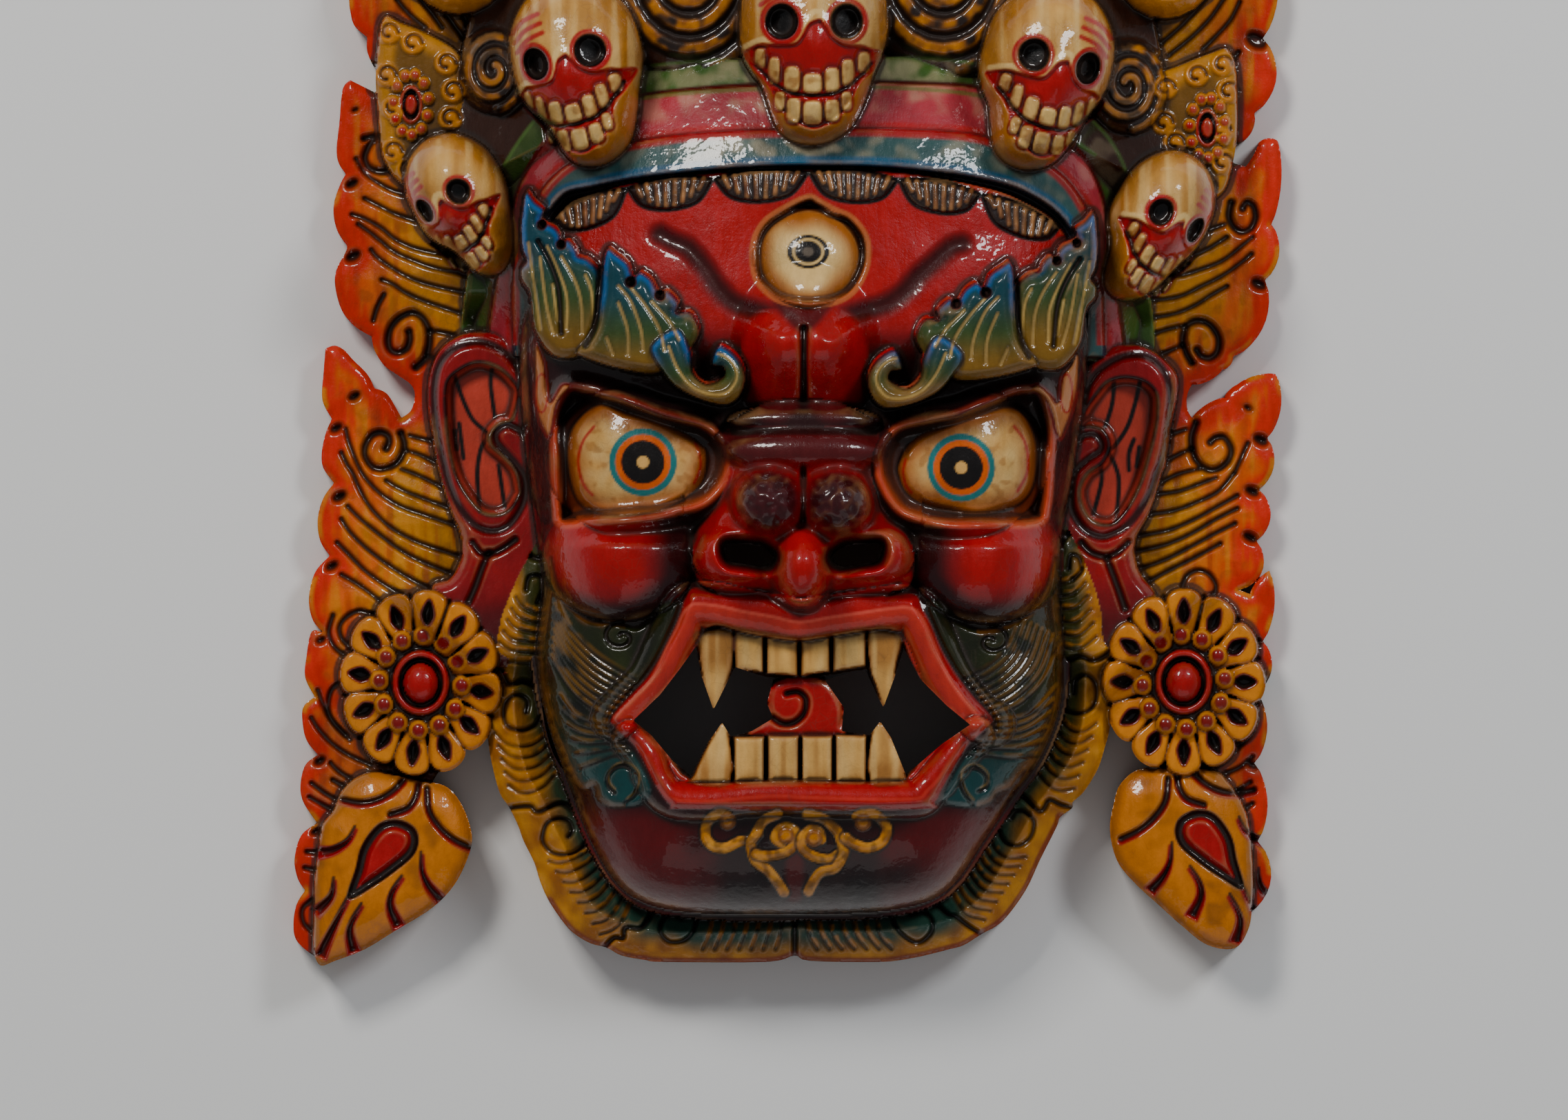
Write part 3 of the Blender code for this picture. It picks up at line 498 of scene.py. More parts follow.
SCOOPS = [(-202, 176, 4.2), (-201.5, 142, 4.8), (-201, 76.5, 4), (-209.5, 61.5, 4.2), (-208, 29.5, 4.6),
          (-211.5, -3, 4.2), (-216.5, -37.5, 3.6), (-217, -94, 4), (-200.5, 210.5, 2.6),
          (-219, -127, 3.4), (221, 243, 6.5), (222, 129, 5), (223, 56, 4.8), (219, 32, 4.6),
          (218, 10.5, 4.6), (221, -38, 3.4), (220, -62, 4), (217, 71, 3), (219, -96, 4), (218, -130, 3.6)]

# Tiles of the crown, edges of the bands from left to right, and cusps of the fringe
TILE_LEFT = [(-187, 254), (-178, 251), (-168, 247), (-153, 238), (-149, 228), (-147, 215), (-149, 204),
             (-157, 190), (-166, 180), (-176, 175), (-183, 180), (-188, 190), (-190, 210), (-191, 225),
             (-190, 240)]
TILE_RIGHT = [(207, 239), (199, 237), (184, 231), (173, 226), (170, 212), (171, 200), (176, 192),
              (184, 178), (190, 168), (198, 167), (206, 173), (210, 186), (212, 200), (212, 218),
              (211, 232)]
GREEN_EDGE = [(-152, 95), (-150, 120), (-146, 145), (-137, 172), (-124, 196), (-108, 214), (-85, 226),
              (-50, 232.5), (14, 235.5), (60, 235), (95, 231), (122, 220), (146, 204), (160, 182),
              (166, 150), (172, 120), (174, 92)]
RED_EDGE = [(-140, 95), (-135, 130), (-127, 165), (-120, 183), (-107, 201), (-85, 212.5), (-50, 219.5),
            (14, 223.5), (60, 223), (95, 220), (120, 206), (139, 190), (149, 170), (154, 140), (160, 95)]
BLUE_EDGE = [(-126, 95), (-127, 130), (-122, 155), (-110, 177), (-90, 190), (-50, 198.5), (10, 201.5),
             (60, 201), (95, 197.5), (125, 184), (141, 165), (148, 140), (150, 95)]
DARK_EDGE = [(-118, 95), (-118, 145), (-106, 169.5), (-90, 176), (-60, 183), (-10, 187.5), (40, 187.5),
             (70, 185), (90, 181.5), (112, 174), (132, 159), (142, 135), (142, 95)]
BROW_EDGE = [(-116, 72), (-115, 140), (-104, 163.5), (-90, 171.5), (-60, 178.5), (-10, 182.5), (50, 182),
             (90, 175.5), (112, 168), (130, 155), (138, 130), (137, 72)]
CUSPS = [(-109, 161), (-73.5, 174), (-33, 178.5), (11.5, 181.5), (53.5, 178), (92, 171.5), (129, 156)]

# Outlines of the face and of the beard that rings it
FACE = [(-124, 95), (-120, 130), (-106, 165), (-60, 178), (11, 182), (60, 180), (112, 168), (138, 140),
        (142, 95), (137, 50), (131, 15), (129, -10), (131, -45), (129, -70), (120, -93), (108, -110),
        (94, -131), (76, -155), (50, -164), (5, -166), (-45, -165), (-72, -157), (-88, -136),
        (-101, -104), (-111, -75), (-116, -45), (-113, -12), (-116, 12), (-121, 50)]
RING = [(-111, 23), (-117, 8), (-121, 0), (-125.8, -9.4), (-132.9, -27.3), (-136.5, -48), (-138.3, -49.3),
        (-139.4, -67.7), (-138.6, -83), (-136.6, -95.6), (-133, -109), (-128.8, -115.3), (-124.6, -123.8),
        (-121.8, -131.5), (-116.9, -141.4), (-114, -150.6), (-109.8, -159.8), (-102, -171), (-96.4, -176),
        (-90, -179.5), (-83, -181.3), (-76, -185), (-65.4, -187), (-56, -188), (-8, -188), (5, -185),
        (12, -187.5), (45, -188), (60, -186.2), (69.9, -184), (77.6, -182), (84, -180.2), (92.4, -175),
        (102.3, -168.9), (112.9, -154.8), (119.9, -140), (127.7, -124.5), (129.1, -120.3), (134.8, -116),
        (135.1, -113.2), (140.4, -108.3), (146.7, -98), (150, -88), (152.5, -78), (153.5, -62),
        (152.8, -43), (149.8, -37), (148.9, -24.6), (145.3, -11.2), (139, 4), (134, 13.5), (126, 29),
        (127, 5), (129, -40), (127, -75), (118, -93), (104, -114), (89, -136), (77, -152), (60, -158),
        (5, -159), (-66, -159), (-82, -141), (-99, -106), (-110, -85), (-115, -50), (-112, -14),
        (-110, 0)]

# Eyes
EYE_SOCKET = [(-101, 80), (-92, 79.8), (-80, 77), (-70, 73.5), (-58, 69), (-47, 66), (-38, 63.5),
              (-31.5, 59), (-27, 53), (-25.8, 44.6), (-28, 37), (-33, 30), (-39, 26), (-47, 23.8),
              (-58, 21.2), (-74, 19.6), (-89, 18.5), (-104, 16.8), (-106.5, 25), (-107.3, 46),
              (-107.5, 67)]
EYE_SOCKET_RIGHT = [(44.2, 43), (45.4, 52.3), (49.2, 58.5), (55.4, 63), (69.2, 66.2), (80.8, 68.5),
                    (92.3, 73), (103.8, 77.7), (112.3, 79.8), (120, 78.5), (124, 68), (125.3, 58),
                    (124.5, 45), (123, 25), (118, 17.3), (92.3, 17), (77, 17), (65.4, 18.8), (55.4, 22.3),
                    (49.2, 29.2), (45.4, 37)]
EYEBALL = [(-101.2, 49), (-100, 58.5), (-96, 65.4), (-89, 71.5), (-83, 73), (-73.8, 69.2), (-62.3, 66.2),
           (-50.8, 61.5), (-41.5, 56), (-37, 50.8), (-37, 41.5), (-40, 34.6), (-47.7, 28.5),
           (-58.5, 23.8), (-73.8, 21.5), (-87, 22.3), (-95.4, 27), (-99.6, 37)]
EYEBALL_RIGHT = [(54, 45), (61.5, 57), (77, 63.8), (92.3, 69.2), (103.8, 71.5), (111.5, 67.7), (117, 57),
                 (118, 46), (115.4, 33), (107.7, 25.4), (92.3, 21.5), (77, 23), (65.4, 26.2),
                 (57.7, 31.5), (54.5, 38)]
THIRD_EYE = [(11, 169.2), (15.8, 167.5), (23.3, 163.3), (30.8, 160), (36.7, 153.3), (38.8, 146.7),
             (38.3, 138.3), (35, 130), (30, 124.2), (22.5, 120.8), (11.7, 119.6), (0, 121.3), (-6.7, 125),
             (-12.5, 131.7), (-14.2, 142), (-13, 150.8), (-8.3, 158.3), (0, 164)]

# Ears
EAR = [(-119.5, 89.4), (-124.2, 97.3), (-131.6, 103.8), (-140.9, 106.8), (-150.2, 105.7), (-158.6, 101),
       (-163.3, 94.5), (-166, 85.2), (-166.5, 73), (-164.7, 59.2), (-162.3, 45.2), (-158.6, 31.3),
       (-154.9, 20), (-152.1, 13.6), (-150.7, 6.2), (-152, -1.3), (-156.7, -8.7), (-165, -13),
       (-160, -30), (-138, -50), (-116, -44), (-110, -8), (-108, 40), (-108, 80)]
EAR_RIGHT = [(136, 85), (140.5, 90), (143.7, 93.6), (150.2, 98.3), (159.5, 100.8), (168.8, 99.7),
             (178, 93.6), (183.7, 86.6), (183.7, 76.3), (180.8, 61.5), (178.6, 45.3), (176.7, 40),
             (173.4, 28.9), (170.4, 20.8), (166.8, 14.2), (164.5, 9), (164.5, 1), (167.5, -7.2),
             (174.1, -16.8), (170, -30), (150, -48), (130, -44), (126, -8), (126, 40), (128, 80)]
EAR_LINE = [(-120.5, 80.6), (-122.3, 86.2), (-127.9, 94.5), (-135.3, 100), (-143.7, 102), (-153, 99.7),
            (-160, 93.6), (-163.3, 84.3), (-163.7, 73), (-162.3, 59.2), (-159.5, 46.2), (-155.8, 33),
            (-151.2, 23.8), (-144.7, 16.4), (-137.2, 13.6), (-129.8, 15.5), (-124.2, 22), (-121.4, 29.4),
            (-121.4, 37.8), (-125, 44.3), (-130.7, 50.8), (-134.4, 55.5), (-134.4, 60), (-129.8, 63),
            (-124.2, 61), (-119, 56.4)]
EAR_LINE_RIGHT = [(139.5, 74), (142.4, 82.2), (148.3, 89.6), (157.9, 95), (167.5, 95.8), (174.1, 92.5),
                  (178.6, 86.6), (180.8, 77.8), (180, 65.2), (177.8, 50.5), (174, 40), (171.2, 31.2),
                  (166.8, 23.8), (160.9, 16.4), (154.2, 12.4), (148.3, 10.9), (141.7, 13.5),
                  (136.5, 19.4), (134, 26.7), (134.4, 38.7), (140.9, 46.2), (147.4, 50.8), (148.4, 54.5),
                  (145.6, 58.3), (140, 58.3), (134.4, 53.6)]
EAR_BOWL = [(-158.6, 77.8), (-156.7, 85.2), (-149.3, 90.8), (-141.9, 92.7), (-133.5, 90), (-127, 84.3),
            (-124, 78), (-127, 66), (-133, 63.5), (-137, 59), (-137, 54), (-131, 48.5), (-125.5, 42),
            (-123.3, 33), (-124.2, 29.4), (-127.9, 23.8), (-133.5, 21), (-141, 22), (-147.4, 28.5),
            (-153, 37.8), (-156.3, 49.9), (-158, 63.8)]
EAR_BOWL_RIGHT = [(140.9, 70.3), (144.7, 76), (151.2, 83.4), (159.5, 85.7), (168.8, 83.8), (174.4, 77.8),
                  (174.9, 68.5), (173.5, 59.2), (170.7, 48), (167, 36), (161.4, 24.8), (154.9, 17.3),
                  (148.4, 16.4), (142.8, 19.2), (139, 25.7), (138.1, 33), (141.9, 40.6), (149, 46),
                  (152, 54), (149, 60.5), (143, 62.5), (138, 62)]
EAR_VEINS = [
    [(-154, 86), (-150.2, 75), (-145.6, 65.7), (-139, 58.7), (-141.9, 51.7), (-143.5, 40),
     (-142.3, 22.9)], [(-136.7, 89.4), (-137.2, 81.5), (-135.3, 67)], [(-152, 63.8), (-150, 47.6)],
    [(-154, 60.6), (-153.2, 51.7)], [(-133.5, 44.3), (-130.7, 24.8)],
    [(166.5, 83.4), (164.2, 73), (160.5, 62), (154.9, 53.6), (152, 50.8), (154.9, 44.3), (156.7, 36),
     (155.3, 17.8)], [(154.4, 83), (153.5, 73), (150.2, 62)], [(163.7, 56.4), (161.4, 49.9), (161.4, 42)],
    [(166.2, 52.7), (165, 43.8)], [(148.4, 43.8), (148.4, 36), (144.7, 21.5)]]
EAR_FORKS = [
    [(-145.6, 8), (-141.9, 3.4), (-137.2, 2.9), (-131.6, 5.2), (-125.6, 9.4)],
    [(-138, 3.4), (-140.9, -3), (-144.7, -13.4), (-147.4, -19.4)],
    [(139, 8), (143.7, 3.4), (150.2, 1.5), (155.8, 3.4), (160.9, 8)],
    [(151.2, 0), (154.9, -9.7), (159.5, -22.7)]]

# Folds of the forehead, red lines of the eyes, and scrolls at the temples
WAVES = [
    [(-58, 152), (-52.5, 149), (-45, 145.5), (-37.5, 137), (-30.8, 127), (-22.5, 119.5), (-10, 115.5),
     (0, 110.5)],
    [(83.3, 147.6), (78.3, 146), (70, 139), (63.3, 133), (56.7, 125.7), (48.3, 119.7), (36.7, 116.3),
     (28.3, 113), (21.7, 108)]]
EYE_ARCS = [
    [(-88.8, 62.5), (-93.8, 56), (-96.2, 47.7), (-95.4, 40), (-93, 34), (-89.6, 30.4)],
    [(-41.5, 54.6), (-39.6, 50), (-39.2, 43), (-42, 36)],
    [(107.7, 62.5), (112.3, 56), (114.2, 47.7), (113.5, 40), (109.2, 32.2)],
    [(56.9, 47), (55.8, 41.5), (56.9, 35.4), (59.6, 31.5)]]
TEMPLE_SCROLLS = [
    [(-100, 80.8), (-106, 73), (-109.3, 58), (-112, 60), (-114.9, 66.6), (-116.7, 76), (-116.7, 88),
     (-118, 95), (-116.7, 103), (-112, 92), (-111, 80), (-109, 74), (-104, 82)],
    [(115.3, 80), (121.4, 76), (125, 68.5), (127, 60), (129.3, 56.4), (131.6, 61), (134.4, 68.5),
     (136.5, 76), (138, 84.3), (138.5, 95.5), (141, 110), (137, 104), (134, 92), (130, 86), (128, 74),
     (124, 78), (119, 82)]]


def boards():
    """The flame boards: the ground of the whole mask, its worn paint, scoops and cuts."""
    outline = np.concatenate([LEFT_EDGE[::-1], CROWN_EDGE, RIGHT_EDGE, BOARD_FOOT])
    box, d = plate(outline, lambda u, v, d: BOARD_LEVEL + 9 * smoothstep(0, 60, d), 5, FLAME,
                   "flame_boards", reach=62)
    worn = d + 9 * MOTTLE[box] + 5 * STREAK[box] - 7
    paint(box, smoothstep(5, 15, worn), ORANGE)
    paint(box, 0.9 * smoothstep(13, 34, worn) * smoothstep(-150, -20, V[box]), YELLOW)
    shade = smoothstep(34, 60, worn) * smoothstep(-110, -10, V[box])
    paint(box, 0.6 * shade, srgb(120, 84, 12))
    paint(box, 0.5 * smoothstep(0.5, 0.85, GRAIN[box]) * smoothstep(3, 12, d), YELLOW)
    paint(box, 0.5 * smoothstep(0.42, 0.12, GRAIN[box]) * smoothstep(1, 9, d), srgb(150, 34, 4))
    paint(box, 0.3 * smoothstep(0.55, 0.8, STREAK[box]) * smoothstep(5, 12, d), srgb(96, 40, 8))
    paint(box, 0.7 * smoothstep(3.0, 1.0, d) * smoothstep(0.55, 0.75, MOTTLE[box]), YELLOW)
    PIECE[(V > FINE_TOP) & (PIECE == 0)] = NAMES.index("crown_top")
    for u, v, r in SCOOPS:
        box, d = sink(oval((u, v), 1.1 * r, 0.85 * r, 30 if u < 0 else -30), 5.5, 4)
        paint(box, 0.6 * soft(d, 1.5), srgb(124, 48, 10))
        # Painted shade: the deep core of each scoop is darkened to near-black brown
        paint(box, 0.85 * smoothstep(1.0, 3.2, d), srgb(48, 18, 8))
    for line in LEFT_STROKES + RIGHT_STROKES:
        box, d = distance(curve(line), 9)
        # Painted shade: a soft dark brown margin along each cut
        paint(box, 0.3 * smoothstep(3.2, 1, d), srgb(74, 34, 8))
        groove(curve(line), 2.5, 2.4, INK)
    for line in WING_SPIRALS:
        groove(curve(line), 4.0, 4.4, INK)
    hub_u, hub_v, start = 13, 100, 215
    for k in range(19):
        fan = np.radians(24 + 7.4 * k)
        if FINE_TOP < hub_v + start * np.sin(fan):
            groove([(hub_u + r * np.cos(fan), hub_v + r * np.sin(fan)) for r in (start, 250, 290, 320)],
                   3.4, 3, INK)


def crown():
    """The hair with its curls, the bosses of the crown, and the two jewelled tiles."""
    plate(curve([(-150, 150), (-152, 230), (-128, 300), (-70, 372), (14, 402), (98, 372),
                 (156, 300), (178, 225), (174, 150)], True),
          lambda u, v, d: HAIR_LEVEL + 34 * smoothstep(0, 60, d) * smoothstep(420, 250, v), 8, BROWN,
          "hair_and_tiles", reach=62)
    PIECE[(V > FINE_TOP) & (PIECE == NAMES.index("hair_and_tiles"))] = NAMES.index("crown_top")
    for centre, radius, turns in (((-136, 229), 17, 2.4), ((161, 222), 19, 2.6), ((-43, 275), 42, 3.6),
                                  ((76, 275), 42, 3.6), ((-96, 300), 30, 2.6), ((124, 300), 30, 2.6),
                                  ((-45, 345), 30, 2.6), ((72, 345), 30, 2.6)):
        dome(centre, (radius, radius * 1.2), 14)
        line = spiral(centre, radius * 0.93, turns, -80, 1.2)
        box, d = distance(line, 7)
        half = radius / (2.0 * turns)
        Z[box] += 3.2 * smoothstep(half, 0.2 * half, d)
        paint(box, soft(half - d, 1.0), srgb(34, 24, 20))
        gold = smoothstep(0.62 * half, 0.2 * half, d) * smoothstep(0.15, 0.6, STREAK[box])
        paint(box, 0.9 * gold, blend(OCHRE, GOLD, GRIT[box]))
    for centre, radius, turns in (((-152, 290), 28, 1.2), ((178, 288), 28, -1.2)):
        plate(spiral(centre, radius, 1, 0, 1.25, 1.0), 66, 22, GOLD, "crown_top", tuck=1.0)
        groove(spiral(centre, radius * 0.7, turns, -60, 1.2), 4, 5, BROWN)
    plate(curve([(14, 300), (40, 330), (50, 362), (36, 395), (20, 415), (14, 440), (8, 415), (-10, 395),
                 (-24, 362), (-14, 330)], True), 84, 26, GOLD, "crown_top", tuck=1.2)
    groove(curve([(14, 312), (30, 345), (14, 392), (-2, 345), (14, 312)]), 4, 5, RED)
    for tile, heart in ((TILE_LEFT, (-174.5, 213)), (TILE_RIGHT, (198, 202))):
        plate(curve(tile, True), TILE_LEVEL, 7, blend(GOLD, GREEN, 0.25), "hair_and_tiles", reach=12)
        rim = curve(tile, True)
        box, d = depth_inside(rim, 14)
        paint(box, 0.8 * smoothstep(5, 12, d + 5 * MOTTLE[box] - 2), srgb(74, 52, 14))
        for k in range(0, len(rim), 9):
            inward = np.array(heart) - rim[k]
            inward /= np.hypot(*inward)
            lobe = rim[k] + inward * 7.5
            dome(lobe, (6.0, 6.0), 2.4)
            paint(*near(lobe, 5.4, 1.2), GOLD)
            groove(spiral(lobe, 4.6, 0.75, 40 * k, 1, 0.45), 1.8, 2.2, BROWN)
        for k in range(11):
            angle = 2 * np.pi * k / 11 + 0.2
            bead = (heart[0] + 8.3 * np.cos(angle), heart[1] + 14.2 * np.sin(angle))
            dome(bead, (2.8, 3.3), 3.2, TILE_LEVEL)
            paint(*near(bead, 3.0), GOLD)
            paint(*near(bead, 1.9), RED)
        plate(oval(heart, 5.4, 9), TILE_LEVEL + 1.5, 1.5, RED)
        sink(oval(heart, 4.2, 7.4), 5, 1)
        fill(oval(heart, 4.2, 7.4), INK)
        plate(oval(heart, 2.9, 4.8), TILE_LEVEL + 2, 2, RED)


def headband():
    """Three painted bands over the forehead, and the dark gap below them."""
    for edge, lift, colour, rim in ((GREEN_EDGE, 0, GREEN, srgb(86, 140, 60)), (RED_EDGE, 3, PINK, RED),
                                    (BLUE_EDGE, 6, SLATE, srgb(16, 72, 104))):
        def level(u, v, d, lift=lift):
            low = 47 - 22 * smoothstep(128, 108, v)
            return lift + np.maximum(head(u, v) - 34 * smoothstep(150, 100, v), low)

        box, d = plate(curve(edge), level, 2, colour, "headband", reach=26)
        # Pale patches, mottled like worn paint and strongest in the middle of the bands' tops: a painted
        # highlight
        middle_light = np.exp(-((U[box] - 14) / 62) ** 2) * soft(d) * (V[box] > 150)
        worn = smoothstep(0.35, 0.75, 0.6 * STREAK[box] + 0.4 * MOTTLE[box])
        lit = 0.55 * worn * (0.25 + 0.75 * middle_light) * smoothstep(16, 10, d) * soft(d) * (V[box] > 150)
        paint(box, lit, blend(CREAM, srgb(170, 170, 160), 0.5))
        paint(box, 0.4 * soft(d) * smoothstep(0.6, 0.25, MOTTLE[box]), colour * 0.5)
        paint(box, 0.75 * soft(d) * smoothstep(-60, -100, U[box]), colour * 0.8)
        if edge is not GREEN_EDGE:
            stroke(curve(edge), 2.0, rim * 0.3)
    stroke(curve(GREEN_EDGE), 1.6, srgb(80, 120, 50), 0.45)
    stroke(curve([(x * 0.995, y - 14.5) for x, y in GREEN_EDGE[5:13]]), 2.0, srgb(66, 110, 40), 0.6)
    box, d = distance(curve(BLUE_EDGE), 5)
    paint(box, 0.85 * soft(3.0 - np.abs(d - 0.5), 0.8) * (V[box] > 100), RED)
    gap = curve(DARK_EDGE)
    gap = gap - np.stack([0 * gap[:, 0], 2.4 * smoothstep(120, 60, np.abs(gap[:, 0] - 10))], 1)
    box, d = sink(gap, 14, 2.5)
    paint(box, soft(d), INK)
    box, d = distance(gap, 5)
    paint(box, 0.75 * soft(1.9 - np.abs(d - 1.6), 0.8) * (V[box] > 140), srgb(16, 76, 112))


def fringe():
    """The scalloped hem of hair below the band, fluted from cusp to cusp."""
    for a, b in zip(CUSPS[:-1], CUSPS[1:]):
        a, b = np.array(a), np.array(b)
        low = 0.5 * (a + b) + np.array((0, -12.5))
        high = 0.5 * (a + b) + np.array((0, 3.5))
        hem = curve([a, 0.5 * (a + low) + (-3, -3.5), low, 0.5 * (b + low) + (3, -3.5), b])
        edge = np.concatenate([hem, curve([b, high, a])])
        box, d = depth_inside(edge, 5)
        paint(box, soft(d), srgb(38, 28, 26))
        Z[box] += 2.0 * smoothstep(0, 1.5, d)
        PIECE[box] = np.where(d > 0, NAMES.index("hair_and_tiles"), PIECE[box])
        stroke(edge, 1.8, INK)
        flutes = 8
        for k in range(1, flutes + 1):
            top = a + (b - a) * k / (flutes + 1)
            aside = k / (flutes + 1) - 0.5
            foot = top + np.array((-aside * 6, -13 * np.cos(aside * 2.6) + 2.5))
            line = curve([top + (0, 0.5), 0.5 * (top + foot), foot])
            ridge(line, 1.5, 1.2)
            box, d = distance(line, 3)
            paint(box, soft(1.0 - d, 0.5) * (0.3 + 0.6 * GRIT[box]),
                  blend(srgb(108, 54, 22), srgb(182, 126, 72), STREAK[box]))


def ears():
    """Ears with a sunk bowl, veins in it and forked cuts below."""
    for ear, bowl, line in ((EAR, EAR_BOWL, EAR_LINE), (EAR_RIGHT, EAR_BOWL_RIGHT, EAR_LINE_RIGHT)):
        box, d = plate(curve(ear, True), lambda u, v, d: EAR_LEVEL + 3 * smoothstep(0, 6, d), 6,
                       srgb(144, 8, 14), "ears", reach=12)
        paint(box, 0.8 * soft(d) * smoothstep(2, -26, V[box] + 8 * MOTTLE[box]), srgb(52, 10, 14))
        box, d = sink(curve(bowl, True), 9, 4)
        paint(box, soft(d + 1, 0.7), DEEP_RED)
        paint(box, soft(d - 1.5, 1.0), SALMON)
        stroke(curve(bowl, True), 1.6, INK, 0.8)
        groove(curve(line), 4.2, 2.2, INK)
    for line in EAR_VEINS:
        stroke(curve(line), 2.2, INK)
    for line in EAR_FORKS:
        groove(curve(line), 3.6, 3.2, INK)


def face():
    """The skin of the face, the forehead with its folds, the third eye and the cheeks."""
    plate(curve(FACE, True),
          lambda u, v, d: FACE_LEVEL + 46 * np.sqrt(1 - (1 - np.clip(d / 48, 0, 1)) ** 2),
          2, MAROON, "face_skin", reach=50)
    box, d = depth_inside(curve(BROW_EDGE), 5)
    rise = head(U[box], V[box]) - 2 * smoothstep(180, 150, V[box]) - Z[box]
    Z[box] += soft(d, 0.5) * smoothstep(70, 108, V[box]) * np.maximum(rise, 0)
    paint(box, soft(d), blend(RED, MAROON, smoothstep(118, 92, V[box])))
    PIECE[box] = np.where((d > 0) & (V[box] > 88), NAMES.index("forehead"), PIECE[box])
    fringe()
    dome((10, 98), (36, 42), 20, power=1.3)
    dome((9, 32), (70, 60), 11, power=1.3)
    for wave in WAVES:
        box, d = distance(curve(wave), 12)
        Z[box] -= 2.2 * smoothstep(7, 0, d)
        paint(box, 0.9 * smoothstep(9.0, 1.5, d), srgb(30, 12, 12))
    box = window([(-20, 60), (40, 118)], 0)
    for lobe in (-1, 1):
        q = ((U[box] - 9.2 - lobe * 14) / 17) ** 2 + ((V[box] - 91) / 27) ** 2
        Z[box] += 7 * np.clip(1 - q, 0, 1) ** 1.2
        paint(box, smoothstep(1.2, 0.7, q), RED)
    groove([(9.3, 108), (9.3, 72)], 3.5, 5, INK)
    fill(curve([(-6, 121), (9, 106), (25, 121)]), MAROON, 2, 0.8)
    third_eye()
    cheeks()


def third_eye():
    """The third eye, in a sunk socket of its own in the forehead."""
    box, d = sink(curve(THIRD_EYE, True), 11, 3)
    paint(box, soft(d + 2), srgb(170, 84, 40))
    paint(box, soft(d - 0.5), srgb(92, 40, 14))
    dome((11.3, 142), (25.5, 23.5), 15)
    fill(oval((11.5, 142), 23, 20.5), CREAM, 1.2)
    PIECE[window([(-12, 122), (35, 162)], 0)] = NAMES.index("forehead")
    box = window([(11.3, 143)], 30)
    q = np.hypot((U[box] - 11.3) / 23, (V[box] - 142) / 20.5)
    paint(box, 0.95 * smoothstep(0.5, 1.0, q + 0.25 * MOTTLE[box] - 0.1) * smoothstep(1.06, 0.98, q),
          srgb(150, 78, 16))
    iris = (11.3, 144.2)
    fill(oval(iris, 9.9, 7.9), INK, 0.35)
    stroke(looped(oval(iris, 6.9, 5.8)), 1.1, CREAM, 0.9)
    fill(oval(iris, 2.6, 2.2), srgb(90, 80, 70), 0.4)


def cheeks():
    """Round cheeks, lit on the outer side."""
    for centre, outer in (((-77, 1), -1), ((95, 0), 1)):
        box = window([centre], 40)
        q = ((U[box] - centre[0]) / 36) ** 2 + ((V[box] - centre[1]) / 30) ** 2
        Z[box] += 23 * np.sqrt(np.clip(1 - q, 0, 1)) * smoothstep(25, 5, V[box])
        lit = np.hypot((U[box] - centre[0] - 4 * outer) / 31, (V[box] - centre[1] - 3) / 25)
        dark = smoothstep(4, 26, -outer * (U[box] - centre[0])) + 0.6 * smoothstep(-6, -26, V[box])
        paint(box, smoothstep(1.12, 0.8, lit), blend(RED, MAROON, np.clip(dark, 0, 1)))


def eyes():
    """Bulging eyes in carved sockets, with their rings of colour."""
    for socket, ball, iris in ((EYE_SOCKET, EYEBALL, (-66, 45.8)),
                               (EYE_SOCKET_RIGHT, EYEBALL_RIGHT, (82.9, 43.2))):
        rim = curve(socket, True)
        box, d = distance(looped(rim), 9)
        Z[box] += 5.5 * smoothstep(9, 0, d)
        box, d = sink(rim, 15, 5)
        low = smoothstep(60, 20, V[box])
        paint(box, soft(d), blend(srgb(58, 22, 14), srgb(160, 70, 30), low))
        box, d = distance(looped(rim), 9)
        upper = smoothstep(38, 62, V[box] - 0.25 * np.abs(U[box] - iris[0]))
        paint(box, smoothstep(8, 4, d) * upper, srgb(40, 12, 12))
        paint(box, 0.9 * soft(2.0 - d, 0.9), blend(srgb(186, 64, 36), srgb(120, 36, 24), upper))
        box, q = spread((iris[0] - 2, 46), (43, 36))
        Z[box] += 19 * np.sqrt(np.clip(1 - q, 0, 1)) * smoothstep(-9, -1, depth_inside(rim, 10, box)[1])
        box, d = depth_inside(curve(ball, True), 12)
        # Painted shade: the socket floor darkens towards the eyeball's edge
        paint(box, 0.6 * smoothstep(-8, 0, d) * (d < 0), INK)
        Z[box] += 3.5 * smoothstep(-0.5, 3, d)
        PIECE[box] = np.where(d > 0, NAMES.index("eyeballs"), PIECE[box])
        paint(box, soft(d + 1.2, 0.8), INK)
        paint(box, soft(d, 0.6), srgb(150, 78, 22))
        paint(box, smoothstep(0.5, 14, d + 4 * MOTTLE[box] - 2), blend(CREAM, BONE, STREAK[box]))
        paint(box, 0.5 * smoothstep(0.55, 0.85, GRIT[box]) * soft(d - 2), OCHRE)
        for radius, colour in ((15.9, TEAL), (13.0, ORANGE), (10.2, INK)):
            fill(oval(iris, radius, radius), colour, 0.3)
        fill(oval(iris, 2.9, 2.9), BONE, 0.3)
    for arc in EYE_ARCS:
        stroke(curve(arc), 1.4, RED, 0.9)


